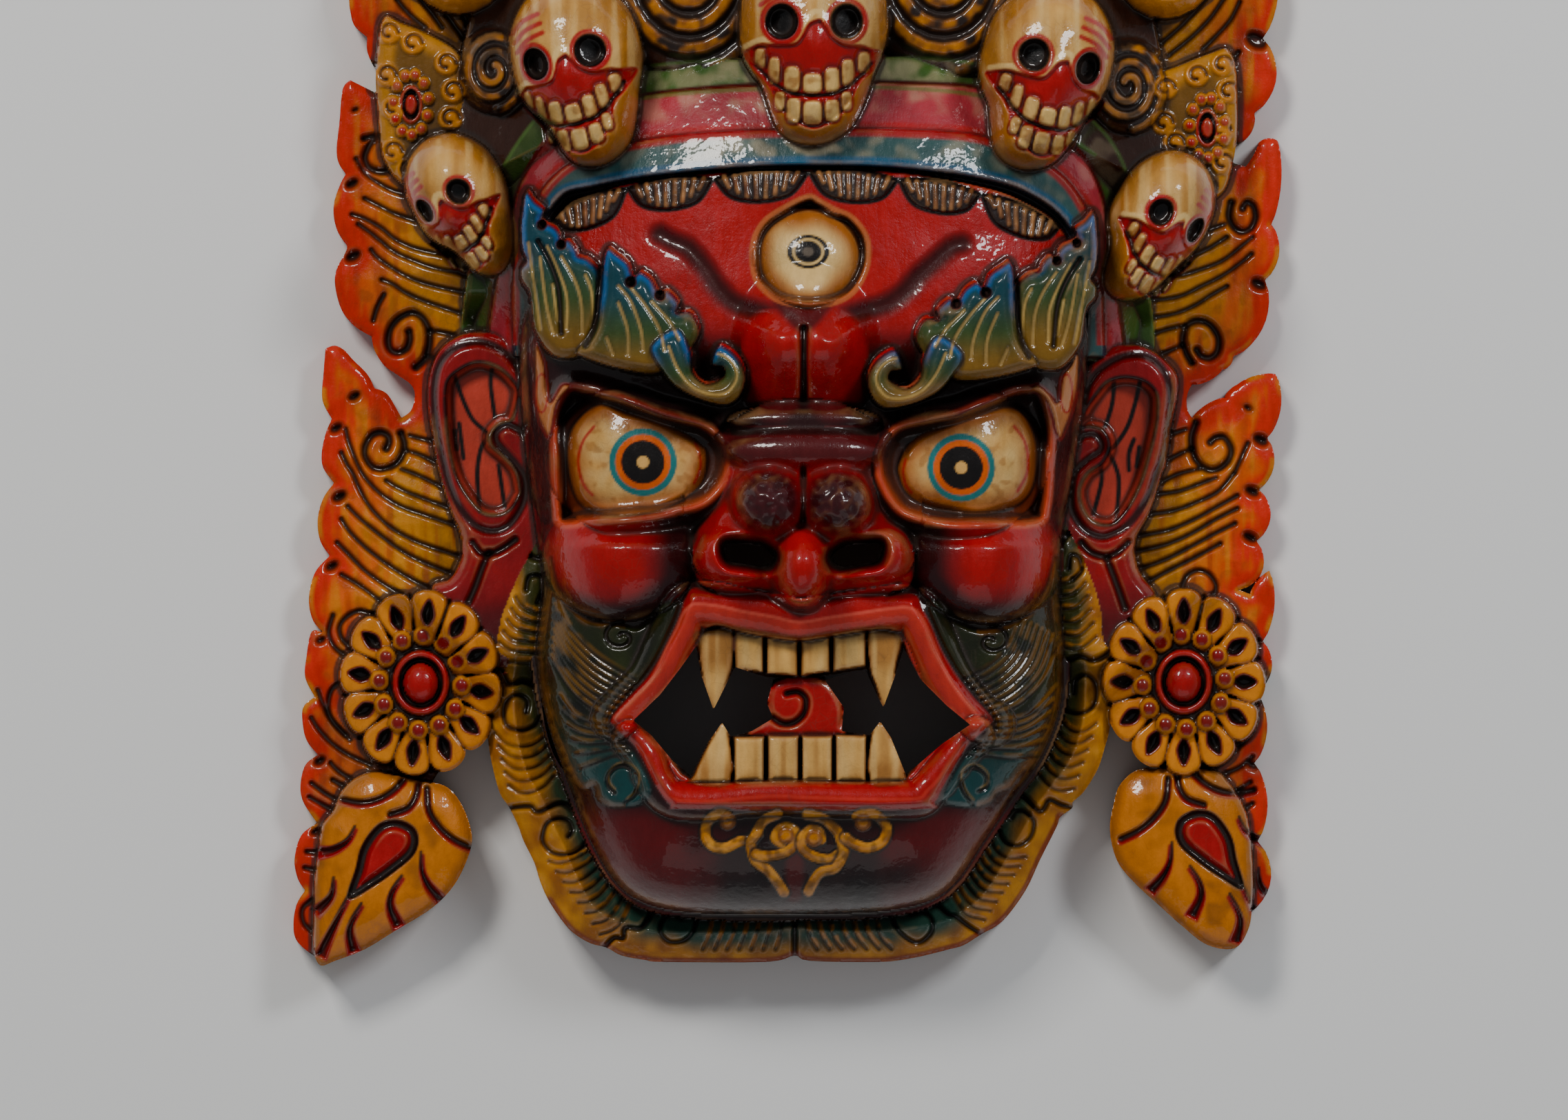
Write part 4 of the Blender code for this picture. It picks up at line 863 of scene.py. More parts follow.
# Brow leaves of the left side
LEAF_OUTER = [(-120.8, 171.7), (-116.7, 167), (-112.5, 163.3), (-113.5, 158.5), (-107.5, 155),
              (-105, 151.5), (-104.5, 148.5), (-100.8, 149), (-97.5, 145), (-96.3, 141.7), (-91.7, 140),
              (-87, 135), (-84, 126), (-84, 117), (-88, 105), (-94, 96), (-103, 94), (-110, 97),
              (-117, 108), (-118.8, 124), (-122.5, 130), (-123.3, 136), (-120.4, 139.6), (-122.5, 145),
              (-123.3, 155), (-122.5, 163)]
LEAF_MIDDLE = [(-82.9, 145), (-78.3, 142.5), (-73.3, 138.3), (-71.7, 134.2), (-70.5, 131.5),
               (-67.5, 134.2), (-62.5, 131), (-60, 126.7), (-58.5, 124.5), (-54.6, 125.4), (-49.6, 120),
               (-50.4, 115.4), (-45, 115.7), (-41.7, 112.5), (-40, 105), (-46, 96), (-54, 90), (-62, 87),
               (-76, 89), (-90, 93), (-97, 97), (-92, 104), (-88, 112), (-85.4, 125.8), (-85, 135)]
LEAF_HOOK = [(-62, 100), (-58, 90), (-52, 82), (-42, 76), (-30, 72.5), (-24, 73.5), (-20, 78),
             (-18.5, 86), (-21, 93), (-26, 98), (-31, 99.5), (-34, 92), (-32, 90.5), (-29, 90), (-28, 86),
             (-33, 82.5), (-38, 82.5), (-43, 88), (-44, 97), (-50, 108)]
LEAF_STROKES = [
    [(-110.8, 146.7), (-105.8, 135.8), (-101.7, 123.3), (-101.7, 108)],
    [(-104.2, 142), (-98.3, 131.7), (-95, 120.8), (-94.5, 106)],
    [(-92.9, 133.3), (-90, 125), (-89.5, 110)], [(-119.6, 148.3), (-118.3, 138.3), (-114, 108)],
    [(-114.2, 141.7), (-111.3, 120), (-108, 106)], [(-108.3, 129), (-106, 112)],
    [(-77.5, 128.3), (-71.7, 120.8), (-67, 108), (-66, 98)],
    [(-71.7, 127.5), (-65, 119.2), (-58.3, 108), (-56, 98)], [(-77.5, 120.4), (-73.3, 108), (-73, 96)],
    [(-62, 121), (-54, 112), (-49, 103)], [(-83, 104), (-80, 96)],
    [(-54, 100), (-50, 90), (-44, 82), (-36, 78), (-28, 78), (-23.5, 82), (-22, 87), (-24, 92),
     (-28, 95.5), (-31, 96.5)]]


def leaf_paint(tip, foot):
    """Blue at a brow leaf's tip, green and ochre towards its foot."""
    def colour(u, v, d):
        t = np.clip((v - foot) / (tip - foot), 0, 1)
        body = blend(blend(srgb(112, 80, 20), srgb(46, 66, 30), smoothstep(0.08, 0.42, t)),
                     srgb(12, 56, 66), smoothstep(0.35, 0.75, t))
        return blend(body, srgb(10, 84, 140), smoothstep(3.6, 1.2, d) * smoothstep(0.45, 0.7, t))
    return colour


def brows():
    """Three brow leaves on each side, each standing higher than the last, cut and lined with gold."""
    for k, (leaf, foot, tip) in enumerate(((LEAF_OUTER, 94, 168), (LEAF_MIDDLE, 86, 140),
                                           (LEAF_HOOK, 70, 112))):
        for outline in both(leaf):
            shape = curve(outline, True, 4)
            shadow = shape + np.array((1.0 if np.mean(shape[:, 0]) < 0 else -1.0, 1.8))
            plate(shadow, BROW_LEVEL - 6 + 6 * k, 2, RED, "brows")
            plate(shape, lambda u, v, d, k=k: BROW_LEVEL + 7 * k + 2.5 * smoothstep(0, 6, d), 5,
                  leaf_paint(tip, foot), "brows", reach=9)
            stroke(looped(shape), 1.4, INK, 0.55)
    for line in both(*LEAF_STROKES):
        groove(curve(line), 1.8, 1.2)
        stroke(curve(line), 1.2, srgb(186, 152, 84), 0.75)
    for line in both([(-115, 149), (-109.2, 138.3), (-105.4, 125.8), (-104.2, 106)],
                     [(-85.5, 136), (-87, 124), (-88, 110), (-93, 100)]):
        groove(curve(line), 2.6, 3.2, INK)
    for u, v, r in ((-113.3, 156.7, 2.5), (-104.2, 147.5, 2.5), (-71.7, 130, 2.8), (-57.9, 123.8, 2.8)):
        for spot in both([(u, v)]):
            box, d = sink(oval(spot[0], r, r), 9, 1.5)
            paint(box, soft(d), srgb(70, 30, 26))


def temples():
    """Scrolls between the eyes and the ears."""
    for scroll in TEMPLE_SCROLLS:
        box, d = depth_inside(curve(scroll, True), 4)
        Z[box] += 3 * smoothstep(0, 1.6, d)
        paint(box, soft(d), srgb(178, 112, 62))
        stroke(looped(curve(scroll, True)), 1.6, srgb(112, 14, 12))
    for u in (-113.4, 132.1):
        for shape, colour in ((oval((u, 78), 3.2, 9.5), RED),
                              (oval((u, 78), 2.3, 8.4), srgb(178, 112, 62))):
            fill(shape, colour, 0.4)


# Nose, its nostrils and bulbs
NOSE = [(-26, 62), (-28, 45), (-31, 30), (-37, 20.5), (-41.5, 13), (-43.5, 2), (-42.5, -6), (-38.5, -12),
        (-27, -15), (-10, -16), (-3, -19.5), (8, -23), (18, -18.5), (40, -16), (57, -13.5), (61.5, -6),
        (61.5, 3), (57, 13), (50.5, 19), (46, 29), (44.5, 45), (44, 62)]
NOSTRIL = [(-27, 7), (-19, 7.5), (-10, 6), (-5, 1), (-9, -3), (-18, -2), (-26, 0)]
NOSTRIL_RIGHT = [(45, 7), (37, 7.5), (28, 6), (22.5, 1), (27, -3), (36, -2), (44, 0)]
BULBS = ((-6.5, 27), (24.5, 26.5))


def nose():
    """One red mass: two ridges across the bridge, two warty bulbs, the wings and the tip."""
    plate(curve(NOSE, True),
          lambda u, v, d: NOSE_LEVEL + 27 * np.sqrt(1 - (1 - np.clip(d / 20, 0, 1)) ** 2),
          1, RED, "nose", reach=22)
    dome((9, 65.5), (36, 7.5), 10, 113)
    dome((9.5, 51), (37, 11), 12, 118)
    for bulb, wing in zip(BULBS, ((-22, 2), (40, 2))):
        dome(wing, (21, 16), 22, 108)
        dome(bulb, (17.5, 17), 26, 119)
    dome((8.5, -3), (14, 20), 31, 114)
    box = window([(-50, -28), (66, 76)], 0)
    u, v = U[box], V[box]
    nearby = (np.hypot((u - 9) / 56, (v - 22) / 54) < 1) * 1.0
    Z[box] += nearby * (softened(Z[box], 1.5, 2) - Z[box])
    PIECE[box] = np.where((Z[box] > 108) & (nearby > 0), NAMES.index("nose"), PIECE[box])
    paint(box, 0.85 * smoothstep(41, 49, v) * nearby * (Z[box] > 106) * (v < 75), srgb(44, 16, 18))
    paint(box, 0.8 * smoothstep(2.2, 1.2, np.abs(v - 60.3)) * (np.abs(u - 9.5) < 34), INK)
    for bulb, hole in zip(BULBS, (NOSTRIL, NOSTRIL_RIGHT)):
        spot, share = near((bulb[0], bulb[1] + 1), 15.0, 4.5)
        paint(spot, 0.95 * share, blend(srgb(22, 5, 8), srgb(54, 14, 20), GRIT[spot]))
        Z[spot] += 1.5 * share * (GRIT[spot] - 0.5)
        wall = curve(hole, True)
        spot, d = depth_inside(wall, 7)
        Z[spot] -= 22 * smoothstep(-5.5, 2, d)
        # Painted shade: the nostril's sloping walls are painted black down into the hole
        paint(spot, smoothstep(-5, -0.5, d), INK)
        pierce(wall)
    groove([(9, 43), (9.2, 30), (9, 19)], 3.0, 3.0, DEEP_RED)


# Mouth
UPPER_LIP_TOP = [(-81.5, -76.6), (-80.8, -71.7), (-72.4, -62.5), (-61.8, -50.5), (-56.9, -41.4),
                 (-51.2, -30.8), (-47.7, -21.6), (-43, -13.5), (-26, -14.5), (-10, -15.5), (-3, -19),
                 (8, -22.5), (18, -18), (38, -15), (55, -15.5), (62, -17), (64.2, -22.3), (69.1, -30.8),
                 (73.3, -41.4), (79.7, -52.6), (88.2, -63.9), (97.3, -73.8), (97.7, -76.6)]
UPPER_BEVEL = [(-79.4, -73.8), (-70.3, -64.6), (-61.8, -55.5), (-54.7, -40), (-50.5, -32.2),
               (-47.7, -25.8), (-44.2, -21.6), (-40.6, -20.5), (-30, -21.6), (-19.5, -24), (-5.4, -26.5),
               (7.2, -29), (21.2, -26.9), (35.3, -24.8), (49.4, -22.7), (58.5, -22.3), (63.5, -25.8),
               (67.7, -33.6), (71.2, -42), (76.2, -53.3), (82.5, -63.2), (91.7, -73.8), (97.3, -76.6)]
MOUTH_UPPER = [(-71, -75.9), (-65.3, -70.3), (-58.3, -64.6), (-50.5, -56.2), (-44.9, -47.7),
               (-41.3, -40.6), (-38.2, -33.6), (-33.6, -30.4), (-28.6, -30.4), (-23, -32.2),
               (-12.4, -34.7), (1.7, -36.8), (10.6, -36.8), (28.2, -33.9), (39.5, -32.2), (45.8, -31.7),
               (50.8, -32.5), (55.7, -37.1), (59.9, -47), (64.9, -56.2), (70.5, -63.9), (77.6, -70.3),
               (85.7, -77.7)]
MOUTH_LOWER = [(85.7, -77.7), (77.6, -83), (70.5, -88.6), (64.4, -94), (59.6, -100), (50, -104.3),
               (2, -103.8), (-36.5, -104.8), (-46.6, -101.4), (-50, -98), (-57.7, -87.5), (-60.4, -85),
               (-66.7, -79.4), (-71, -75.9)]
LOWER_LIP_FOOT = [(97.7, -76.6), (89.6, -84.4), (84.6, -90), (75, -106.7), (71.2, -113.5), (63.5, -117.3),
                  (-46.2, -117.3), (-53.8, -114.9), (-60.6, -105.8), (-69.2, -89.4), (-74.5, -83.7),
                  (-81.5, -76.6)]
LOWER_CREST = [(-72, -84), (-65, -92), (-60.6, -103), (-52.9, -111.5), (-36.5, -113), (-7.7, -110.6),
               (21, -111.5), (59.6, -112), (67.3, -107.7), (75, -99), (84, -88), (90, -82)]
GAP_LEFT = [(-41, -40), (-39, -53), (-33, -70), (-27, -58), (-23, -50), (-5, -56), (-8, -67), (-5, -74),
            (-15, -80), (-25, -82.5), (-29, -76), (-36, -86), (-43.5, -101), (-52, -94), (-62, -82),
            (-70.5, -75), (-58, -63), (-48, -50)]
GAP_RIGHT = [(56, -41), (64, -56), (76, -68), (87, -77), (74, -86), (57, -100.5), (50, -83), (45, -75.5),
             (40, -82), (27, -80), (28, -69), (19, -56), (38, -51), (43, -62), (46.5, -69), (52, -54)]
TEETH_UPPER = [
    [(-40.5, -34), (-40.5, -41), (-38.5, -54.8), (-35.7, -64.6), (-33.6, -69.6), (-32.2, -70.3),
     (-30.8, -68.9), (-27.9, -61), (-25, -53.3), (-23.8, -48), (-24, -32)],
    [(-23.5, -32), (-23, -51.2), (-9.5, -53), (-9.5, -34)],
    [(-8.5, -34), (-8.5, -53.5), (6.7, -54.5), (6.7, -36)],
    [(7.7, -36), (7.7, -54.5), (21.7, -52.5), (21.7, -34)],
    [(22.7, -34), (22.7, -52.5), (38.5, -50), (38.5, -32)],
    [(39.5, -32), (39.8, -50.5), (42.3, -58.3), (45.1, -66.7), (46.9, -69.2), (48.7, -67.4),
     (51.5, -57.6), (53.2, -47.7), (55.4, -40), (54, -34)]]
TEETH_LOWER = [
    [(-43, -104), (-42.3, -100), (-37.5, -89.4), (-32.7, -80.8), (-28.4, -75.5), (-25.5, -82),
     (-24.8, -104)], [(-23.7, -104), (-23.7, -82.5), (-9, -82.5), (-9, -104)],
    [(-7.9, -104), (-7.9, -82), (7, -82), (7, -104)], [(8, -104), (8, -82), (22.9, -82), (22.9, -104)],
    [(23.9, -104), (23.9, -81.5), (38.9, -82), (38.9, -104)],
    [(39.9, -104), (40.5, -82), (45, -75.5), (50, -81.7), (54.8, -92.3), (57, -100), (55.3, -104)]]
TONGUE_LINE = [(1.4, -62.5), (6.3, -61.8), (9.9, -64.6), (10.2, -68.9), (8.5, -73), (4.2, -76.3),
               (-1, -76.5), (-5.4, -73.8)]
TONGUE = [(-2.6, -56.2), (-6.1, -59.7), (-7.8, -66), (-6.8, -71.7), (-7.8, -73.8), (-13.1, -76.6),
          (-15.2, -78.7), (-13.8, -83), (26, -83), (27.2, -76.6), (27.9, -71), (26, -64), (21.9, -58.3),
          (16.9, -55.1), (6, -54)]


def mouth():
    """Lips, open mouth, teeth and tongue, with the two holes beside the tongue."""
    ridge(curve(UPPER_BEVEL), 11, 11)
    ridge(curve(LOWER_CREST), 9, 11)
    lip = np.concatenate([curve(UPPER_LIP_TOP), curve(LOWER_LIP_FOOT)])
    box, d = depth_inside(lip, 10)
    Z[box] += 4 * smoothstep(0, 4, d)
    paint(box, soft(d), RED)
    PIECE[box] = np.where(d > 0, NAMES.index("lips"), PIECE[box])
    opening = np.concatenate([curve(MOUTH_UPPER), curve(MOUTH_LOWER)])
    bevel = np.concatenate([curve(UPPER_BEVEL), curve(MOUTH_UPPER)[::-1]])
    fill(bevel, SALMON, 0.6, 0.45)
    stroke(curve(UPPER_BEVEL), 1.4, srgb(208, 88, 70), 0.6)
    stroke(curve(LOWER_CREST), 1.6, srgb(196, 56, 44), 0.5)
    stroke(curve(LOWER_LIP_FOOT), 1.8, MAROON, 0.9)
    box, d = sink(opening, 26, 3)
    paint(box, soft(d - 0.3), srgb(58, 14, 14))
    for tooth in TEETH_UPPER + TEETH_LOWER:
        upper = tooth in TEETH_UPPER
        tip = min(v for u, v in tooth) if upper else max(v for u, v in tooth)
        outline = curve(tooth, True, 3) if len(tooth) > 5 else tooth

        def tooth_paint(u, v, d, tip=tip):
            return blend(BONE, OCHRE, 0.65 * smoothstep(14, 24, abs(v - tip)))

        box, d = plate(outline, TOOTH_LEVEL, 4, tooth_paint, "teeth", hard=False)
        paint(box, 0.5 * soft(1.4 - d, 0.7) * soft(d), OCHRE)
        paint(box, 0.55 * soft(d - 1) * smoothstep(0.45, 0.85, GRAIN[box]), CREAM)
        paint(box, 0.6 * soft(d - 1) * smoothstep(0.5, 0.1, GRAIN[box]), srgb(150, 100, 44))
        paint(box, 0.7 * smoothstep(1.6, 0.2, np.abs(d)), srgb(96, 26, 12))
    box, d = plate(curve(TONGUE, True), TONGUE_LEVEL, 5, RED, "tongue", hard=False, reach=8)
    groove(curve(TONGUE_LINE), 3.0, 5, MAROON)
    for hole in (GAP_LEFT, GAP_RIGHT):
        pierce(np.array(hole))


# Scrolls of the chin
CHIN_SCROLLS = [
    [(-27, -119), (-31, -118.7), (-36, -123), (-36.5, -129.8), (-32.7, -134), (-27, -134.6),
     (-21, -131.7), (-16, -131), (-12, -128)],
    [(-3, -119), (-9.6, -122), (-13.5, -128.8), (-15.4, -132.7), (-13.5, -140.4), (-7.7, -145),
     (-2.9, -151), (0, -155.5)],
    [(-13, -137.5), (-7.7, -138.5), (0, -137), (4.8, -133), (5.8, -128), (2, -125), (-2, -126),
     (-4, -130), (-1, -132.5)],
    [(17.3, -130.8), (16.3, -127), (12.5, -126), (8.7, -129.8), (8.7, -134.6), (13.5, -138.5), (21, -140),
     (27, -136.5)],
    [(10.6, -119.2), (18.3, -121), (25, -127), (27.5, -134), (27.9, -137.5), (24, -144), (17.3, -146),
     (13.5, -151), (11.5, -155)],
    [(34, -120), (37.5, -118.7), (43, -119.2), (48, -125), (46, -131.7), (39.4, -134.6), (32.7, -132.7),
     (28.8, -129.8)]]


def chin():
    """The dark chin and its gilded scrolls."""
    box = window([(-110, -166), (130, -112)], 0)
    side = smoothstep(30, 66, np.abs(U[box] - MIDDLE_U) + 14 * MOTTLE[box] - 7)
    skin = PIECE[box] == NAMES.index("face_skin")
    dark = blend(srgb(18, 8, 9), srgb(44, 10, 12), MOTTLE[box])
    paint(box, skin * smoothstep(-112, -118, V[box]), dark)
    paint(box, 0.85 * side * smoothstep(-112, -124, V[box]) * skin, DEEP_RED)
    stroke([(5, -137), (5, -156)], 8, DEEP_RED, 0.6, 2)
    for line in CHIN_SCROLLS:
        ridge(curve(line), 2.3, 0.9)
        box, d = distance(curve(line), 5)
        paint(box, 0.8 * soft(3.6 - d, 0.6), INK)
        worn = 0.45 + 0.55 * smoothstep(0.2, 0.6, GRIT[box])
        paint(box, soft(2.3 - d, 0.4) * worn, blend(GOLD, srgb(206, 142, 44), STREAK[box]))
    for centre in ((-26.4, -122), (1, -128.8), (14, -130.3), (37, -122.6)):
        dome(centre, (4, 4), 2)
        paint(*near(centre, 4), OCHRE)
        paint(*near(centre, 2.2), GOLD)


# Moustache: two flames, their combed cuts, and their curls
FLAMES = [
    [(-109, 1.4), (-110.5, -10.3), (-114, -30), (-114.8, -47), (-114.5, -57), (-112.3, -67.7),
     (-108.7, -81.2), (-103.3, -93), (-98.5, -103.3), (-93.6, -107.6), (-89, -106.2), (-87.9, -111),
     (-85, -113.9), (-80.2, -115.7), (-73, -115.7), (-65.4, -113.6), (-62, -106), (-70, -90), (-82, -76),
     (-64, -54), (-54, -36), (-48, -20), (-56, -20), (-64, -27), (-70, -31), (-80, -28), (-90, -28),
     (-99.7, -21), (-106, -12)],
    [(126.9, 2), (127.8, -10.3), (129, -26.4), (131.4, -36.3), (130.5, -46), (130, -55), (129.6, -66),
     (127.3, -75), (122.8, -85.7), (118.3, -94.6), (112.2, -99), (105.8, -106.5), (100.2, -109),
     (96.7, -113.2), (89.6, -115.7), (79.7, -115.3), (74, -113), (77, -104), (86, -90), (99, -77),
     (82, -54), (73, -38), (66, -20), (74, -20), (82, -28), (92, -32), (104, -30), (114, -24),
     (122, -14)]]
COMBS = [
    ([(-107, -18), (-101, -31), (-88, -45), (-70, -56)],
     [(-109, -46), (-99, -62), (-86, -72), (-72, -76)], 8),
    ([(-105, -64), (-98, -73), (-88, -77), (-75, -79)], [(-96, -98), (-88, -95), (-80, -92), (-72, -91)],
     6),
    ([(84, -56), (94, -51), (104, -42), (110, -28)], [(97, -74), (111, -67), (122, -55), (128, -38)], 8),
    ([(98, -76), (108, -75), (117, -71), (127, -60)], [(86, -91), (96, -92), (107, -93), (119, -92)], 6)]
CURLS = [
    [(-79.5, -109), (-82.3, -105.5), (-82.3, -101.2), (-78.8, -97.3), (-73.8, -96.6), (-68.9, -100.5),
     (-68.2, -105.5), (-70.3, -110.4), (-73.8, -113.2)],
    [(91.4, -108.3), (94.6, -106.2), (94.9, -101.9), (91.7, -98.4), (87.5, -97.3), (83.3, -99.8),
     (82.6, -104), (84.7, -109.7), (88.2, -113.9)]]


def moustache_cuts():
    """Combed cuts and curled ends, lined with gold that is partly gilt and partly painted highlight."""
    for first, last, count in COMBS:
        for line in band(first, last, count):
            groove(curve(line), 2.0, 1.1, srgb(8, 10, 6))
            # The gold on the ridge above each cut is partly gilt and partly a painted highlight
            box, d = distance(curve(line) + np.array((0.5, 1.8)), 4)
            gilt_and_highlight = smoothstep(70, 112, np.abs(U[box] - MIDDLE_U)) * smoothstep(1.4, 0.4, d)
            paint(box, 0.75 * gilt_and_highlight * smoothstep(0.1, 0.5, STREAK[box]), srgb(118, 80, 16))
    for line in CURLS:
        groove(curve(line), 2.2, 2.2, srgb(8, 10, 8))
        # A gold line above each curled cut: partly gilt, partly painted highlight
        stroke(curve(line) + np.array((0.5, 1.8)), 0.9, srgb(150, 116, 52), 0.7)


def moustache():
    """Two dark green flames from the nose to the jaw."""
    for flame in FLAMES:
        box, d = depth_inside(curve(flame, True), 12)
        Z[box] += 3.0 * smoothstep(0, 3, d)
        lower = smoothstep(-70, -105, V[box])
        green = blend(srgb(14, 15, 8), srgb(36, 42, 12), MOTTLE[box])
        green = blend(green, srgb(10, 66, 68), lower * 0.9)
        outer = smoothstep(5, 1, d + 2 * STREAK[box]) * (np.abs(U[box] - MIDDLE_U) > 82)
        paint(box, soft(d), blend(green, OCHRE * 0.9, outer * 0.75))
        PIECE[box] = np.where(d > 0, NAMES.index("moustache"), PIECE[box])
        stroke(looped(curve(flame, True)), 1.6, INK, 0.7)
    only_on("moustache", moustache_cuts)
    for centre, turn in (((-76, -36), 1), ((97, -38), -1)):
        groove(spiral(centre, 9, 1.1 * turn, 90, 0.8), 2.0, 2.2, INK)


# Cuts of the beard
RING_JOINTS = [
    [(-121, 5), (-117, 1), (-108, 0)],
    [(-139, -49), (-133, -51), (-128.5, -58), (-122, -56.5), (-114, -60)],
    [(-128, -116), (-119, -115.3), (-114.7, -117.8), (-104, -114), (-94, -121)],
    [(-84, -181), (-79.5, -176.7), (-75.2, -176.7), (-74, -172), (-66, -171.7), (-60, -160)],
    [(5, -190), (5, -160)], [(92.4, -175), (86, -171), (80.5, -166.8), (76, -165.4), (67, -157)],
    [(134.8, -116), (129.5, -114.5), (124, -112.5), (119.5, -117.5), (110, -110.5), (101, -121)],
    [(152.8, -43), (145, -47), (138, -45), (131, -48)], [(134, 13.5), (129, 8), (127, 4)]]
RING_SCROLLS = [
    [(-120.4, -71.3), (-119.9, -66), (-124.9, -63.2), (-129.8, -66), (-131.1, -71.3), (-129.4, -77.6),
     (-123, -79.8), (-116.8, -77.6), (-114, -74)],
    [(-100.6, -129.4), (-98.9, -126.6), (-100.6, -122.4), (-105.6, -121), (-110.5, -123), (-112.6, -128),
     (-112.6, -132.2), (-109, -136.5), (-104.2, -137.9), (-98.5, -137.2), (-93.6, -133.7), (-91.5, -130)],
    [(-48, -167.3), (-52, -165), (-56.7, -168.3), (-57.7, -174), (-53.8, -178.4), (-47, -177.9),
     (-42.3, -173), (-41.3, -167.3), (-43.3, -161.5)],
    [(59.6, -165.4), (64.4, -164), (68.8, -168.3), (68.8, -174), (63.5, -178.8), (57.7, -177), (52, -171),
     (50.5, -164.4), (52, -159.6)],
    [(105.8, -121), (108, -118), (112.2, -117.8), (116.4, -121.7), (116.4, -126.6), (114.3, -130.8),
     (109.4, -133.7), (103.7, -132.2), (100.2, -126.6), (100.2, -122.4)],
    [(135.4, -62.3), (136.3, -56), (140.8, -53.8), (145.3, -57), (146.2, -63.2), (144.4, -68.6),
     (139, -71.8), (131.8, -70.4), (129.6, -66.8)],
    [(-120.5, -14), (-119, -8), (-114, -8), (-112.5, -14), (-115, -20)],
    [(133, -4), (134, 2), (138, 1), (139, -5), (135, -9)]]
RING_COMBS = [
    ([(-125.3, -17.5), (-122.2, -22), (-115, -25.5)], [(-135, -44), (-129, -47.5), (-117, -48)], 6),
    ([(-135.2, -80.7), (-130.3, -85.7), (-124, -87.5), (-117.7, -86.6), (-112.3, -83)],
     [(-128.8, -105.5), (-123.2, -109), (-117.6, -108.7), (-111.9, -106), (-107, -101)], 5),
    ([(-109.8, -141), (-105.6, -142), (-100.6, -141), (-95, -138.6), (-90.8, -135.8)],
     [(-85.8, -175), (-80.9, -173.4), (-76, -169.4), (-73, -163.3), (-71.7, -159.8)], 8),
    ([(-37.5, -160.6), (-34.6, -167.3), (-34.6, -174), (-38, -182)],
     [(-4, -160.6), (-1.5, -167.3), (-1.5, -174), (-4, -182)], 7),
    ([(12, -161), (10.5, -168), (12, -176), (15.4, -182)],
     [(46, -160), (43.5, -168), (45, -176), (50, -182)], 7),
    ([(95.3, -130), (99.5, -136.5), (105, -139.5), (113, -139)],
     [(77.5, -153), (79.9, -159), (85.5, -166), (93.6, -168.4)], 8),
    ([(129.2, -74.8), (134, -79.6), (139.7, -80.4), (146, -76.4)],
     [(117.6, -99), (123.6, -105.5), (129.2, -108), (135.6, -107)], 6),
    ([(129.9, -11.2), (135, -9.4), (139.5, -4.2)], [(131.5, -41), (138, -42), (146, -36)], 6)]


def ring_cuts():
    """Joints, scrolls and combed cuts of the beard."""
    for line in RING_JOINTS:
        groove(curve(line), 2.8, 4, INK)
    for line in RING_SCROLLS:
        groove(curve(line), 2.4, 3.0, INK)
    for first, last, count in RING_COMBS:
        for line in band(first, last, count):
            groove(curve(line), 2.0, 1.8, srgb(56, 38, 12), 0.6)
            box, d = distance(curve(line) + np.array((0.4, 1.9)), 4)
            paint(box, 0.7 * smoothstep(1.5, 0.4, d) * smoothstep(0.2, 0.6, GRIT[box]), GOLD)


def beard():
    """The ring of beard, standing above the ears at its ends."""
    def level(u, v, d):
        upper = smoothstep(-60, -40, v)
        return 34 + 17 * upper + (15 - 10 * upper) * smoothstep(0, 24, d)

    box, d = plate(curve(RING, True, 4), level, 6, OCHRE, "beard", reach=26)
    mine = soft(d) * (PIECE[box] == NAMES.index("beard"))
    from_face = -depth_inside(curve(FACE, True), 30, box)[1]
    low = smoothstep(-135, -168, V[box])
    gold = smoothstep(5, 16, from_face - 5 * low + 6 * MOTTLE[box] - 3)
    inner = blend(srgb(58, 60, 24), srgb(40, 72, 60), smoothstep(-60, -150, V[box]))
    paint(box, mine, blend(inner, blend(srgb(156, 92, 18), srgb(204, 138, 32), STREAK[box]), gold))
    only_on("beard", ring_cuts)
    box, d = distance(curve(RING[16:38]), 6)
    paint(box, 0.8 * soft(2.2 - d, 0.6), srgb(120, 30, 24))


# Pendants, and the cuts of the left one
LEAF_PENDANT = [(-190, -99), (-200, -101.5), (-207, -108), (-211, -117), (-216, -124), (-218, -136),
                (-219.6, -150), (-220, -166), (-220, -182), (-217, -189.5), (-210, -187.5), (-196, -182),
                (-182, -173.5), (-165, -163), (-155, -153), (-149, -142), (-146, -132), (-147, -124),
                (-151, -114), (-158, -106), (-170, -103)]
LEAF_PENDANT_RIGHT = [(200, -98), (208, -104), (214, -113), (217.5, -124), (219.5, -148), (219, -160),
                      (217.5, -172), (211, -181.5), (198, -180), (186, -171), (176, -162), (165, -152),
                      (156, -141), (152.5, -127), (154, -115), (158, -104), (170, -97)]
PENDANT_CUTS = [
    [(-207, -112), (-198, -113.5), (-190, -112), (-183, -108), (-178, -103)],
    [(-200, -126), (-204, -132), (-211, -136), (-218, -137)],
    [(-210, -150), (-212, -158), (-219.5, -165.5)],
    [(-203, -158), (-208, -167), (-213, -177), (-217, -186)],
    [(-178, -149), (-183, -156), (-184, -163), (-180, -172)],
    [(-197, -162), (-202, -170), (-203, -176), (-201, -184)],
    [(-169, -138), (-169, -146), (-166, -153), (-160, -160)],
    [(-167, -107), (-166, -117), (-161, -125), (-154, -131), (-146, -135)]]
COLLAR = [(-171, -104), (-172, -110), (-176, -116), (-184, -119)]
DROP = [(-203.5, -158), (-200, -145), (-197, -134), (-190, -124.5), (-182, -121.8), (-174, -125),
        (-171.5, -131), (-174, -138), (-182, -145), (-192, -152)]


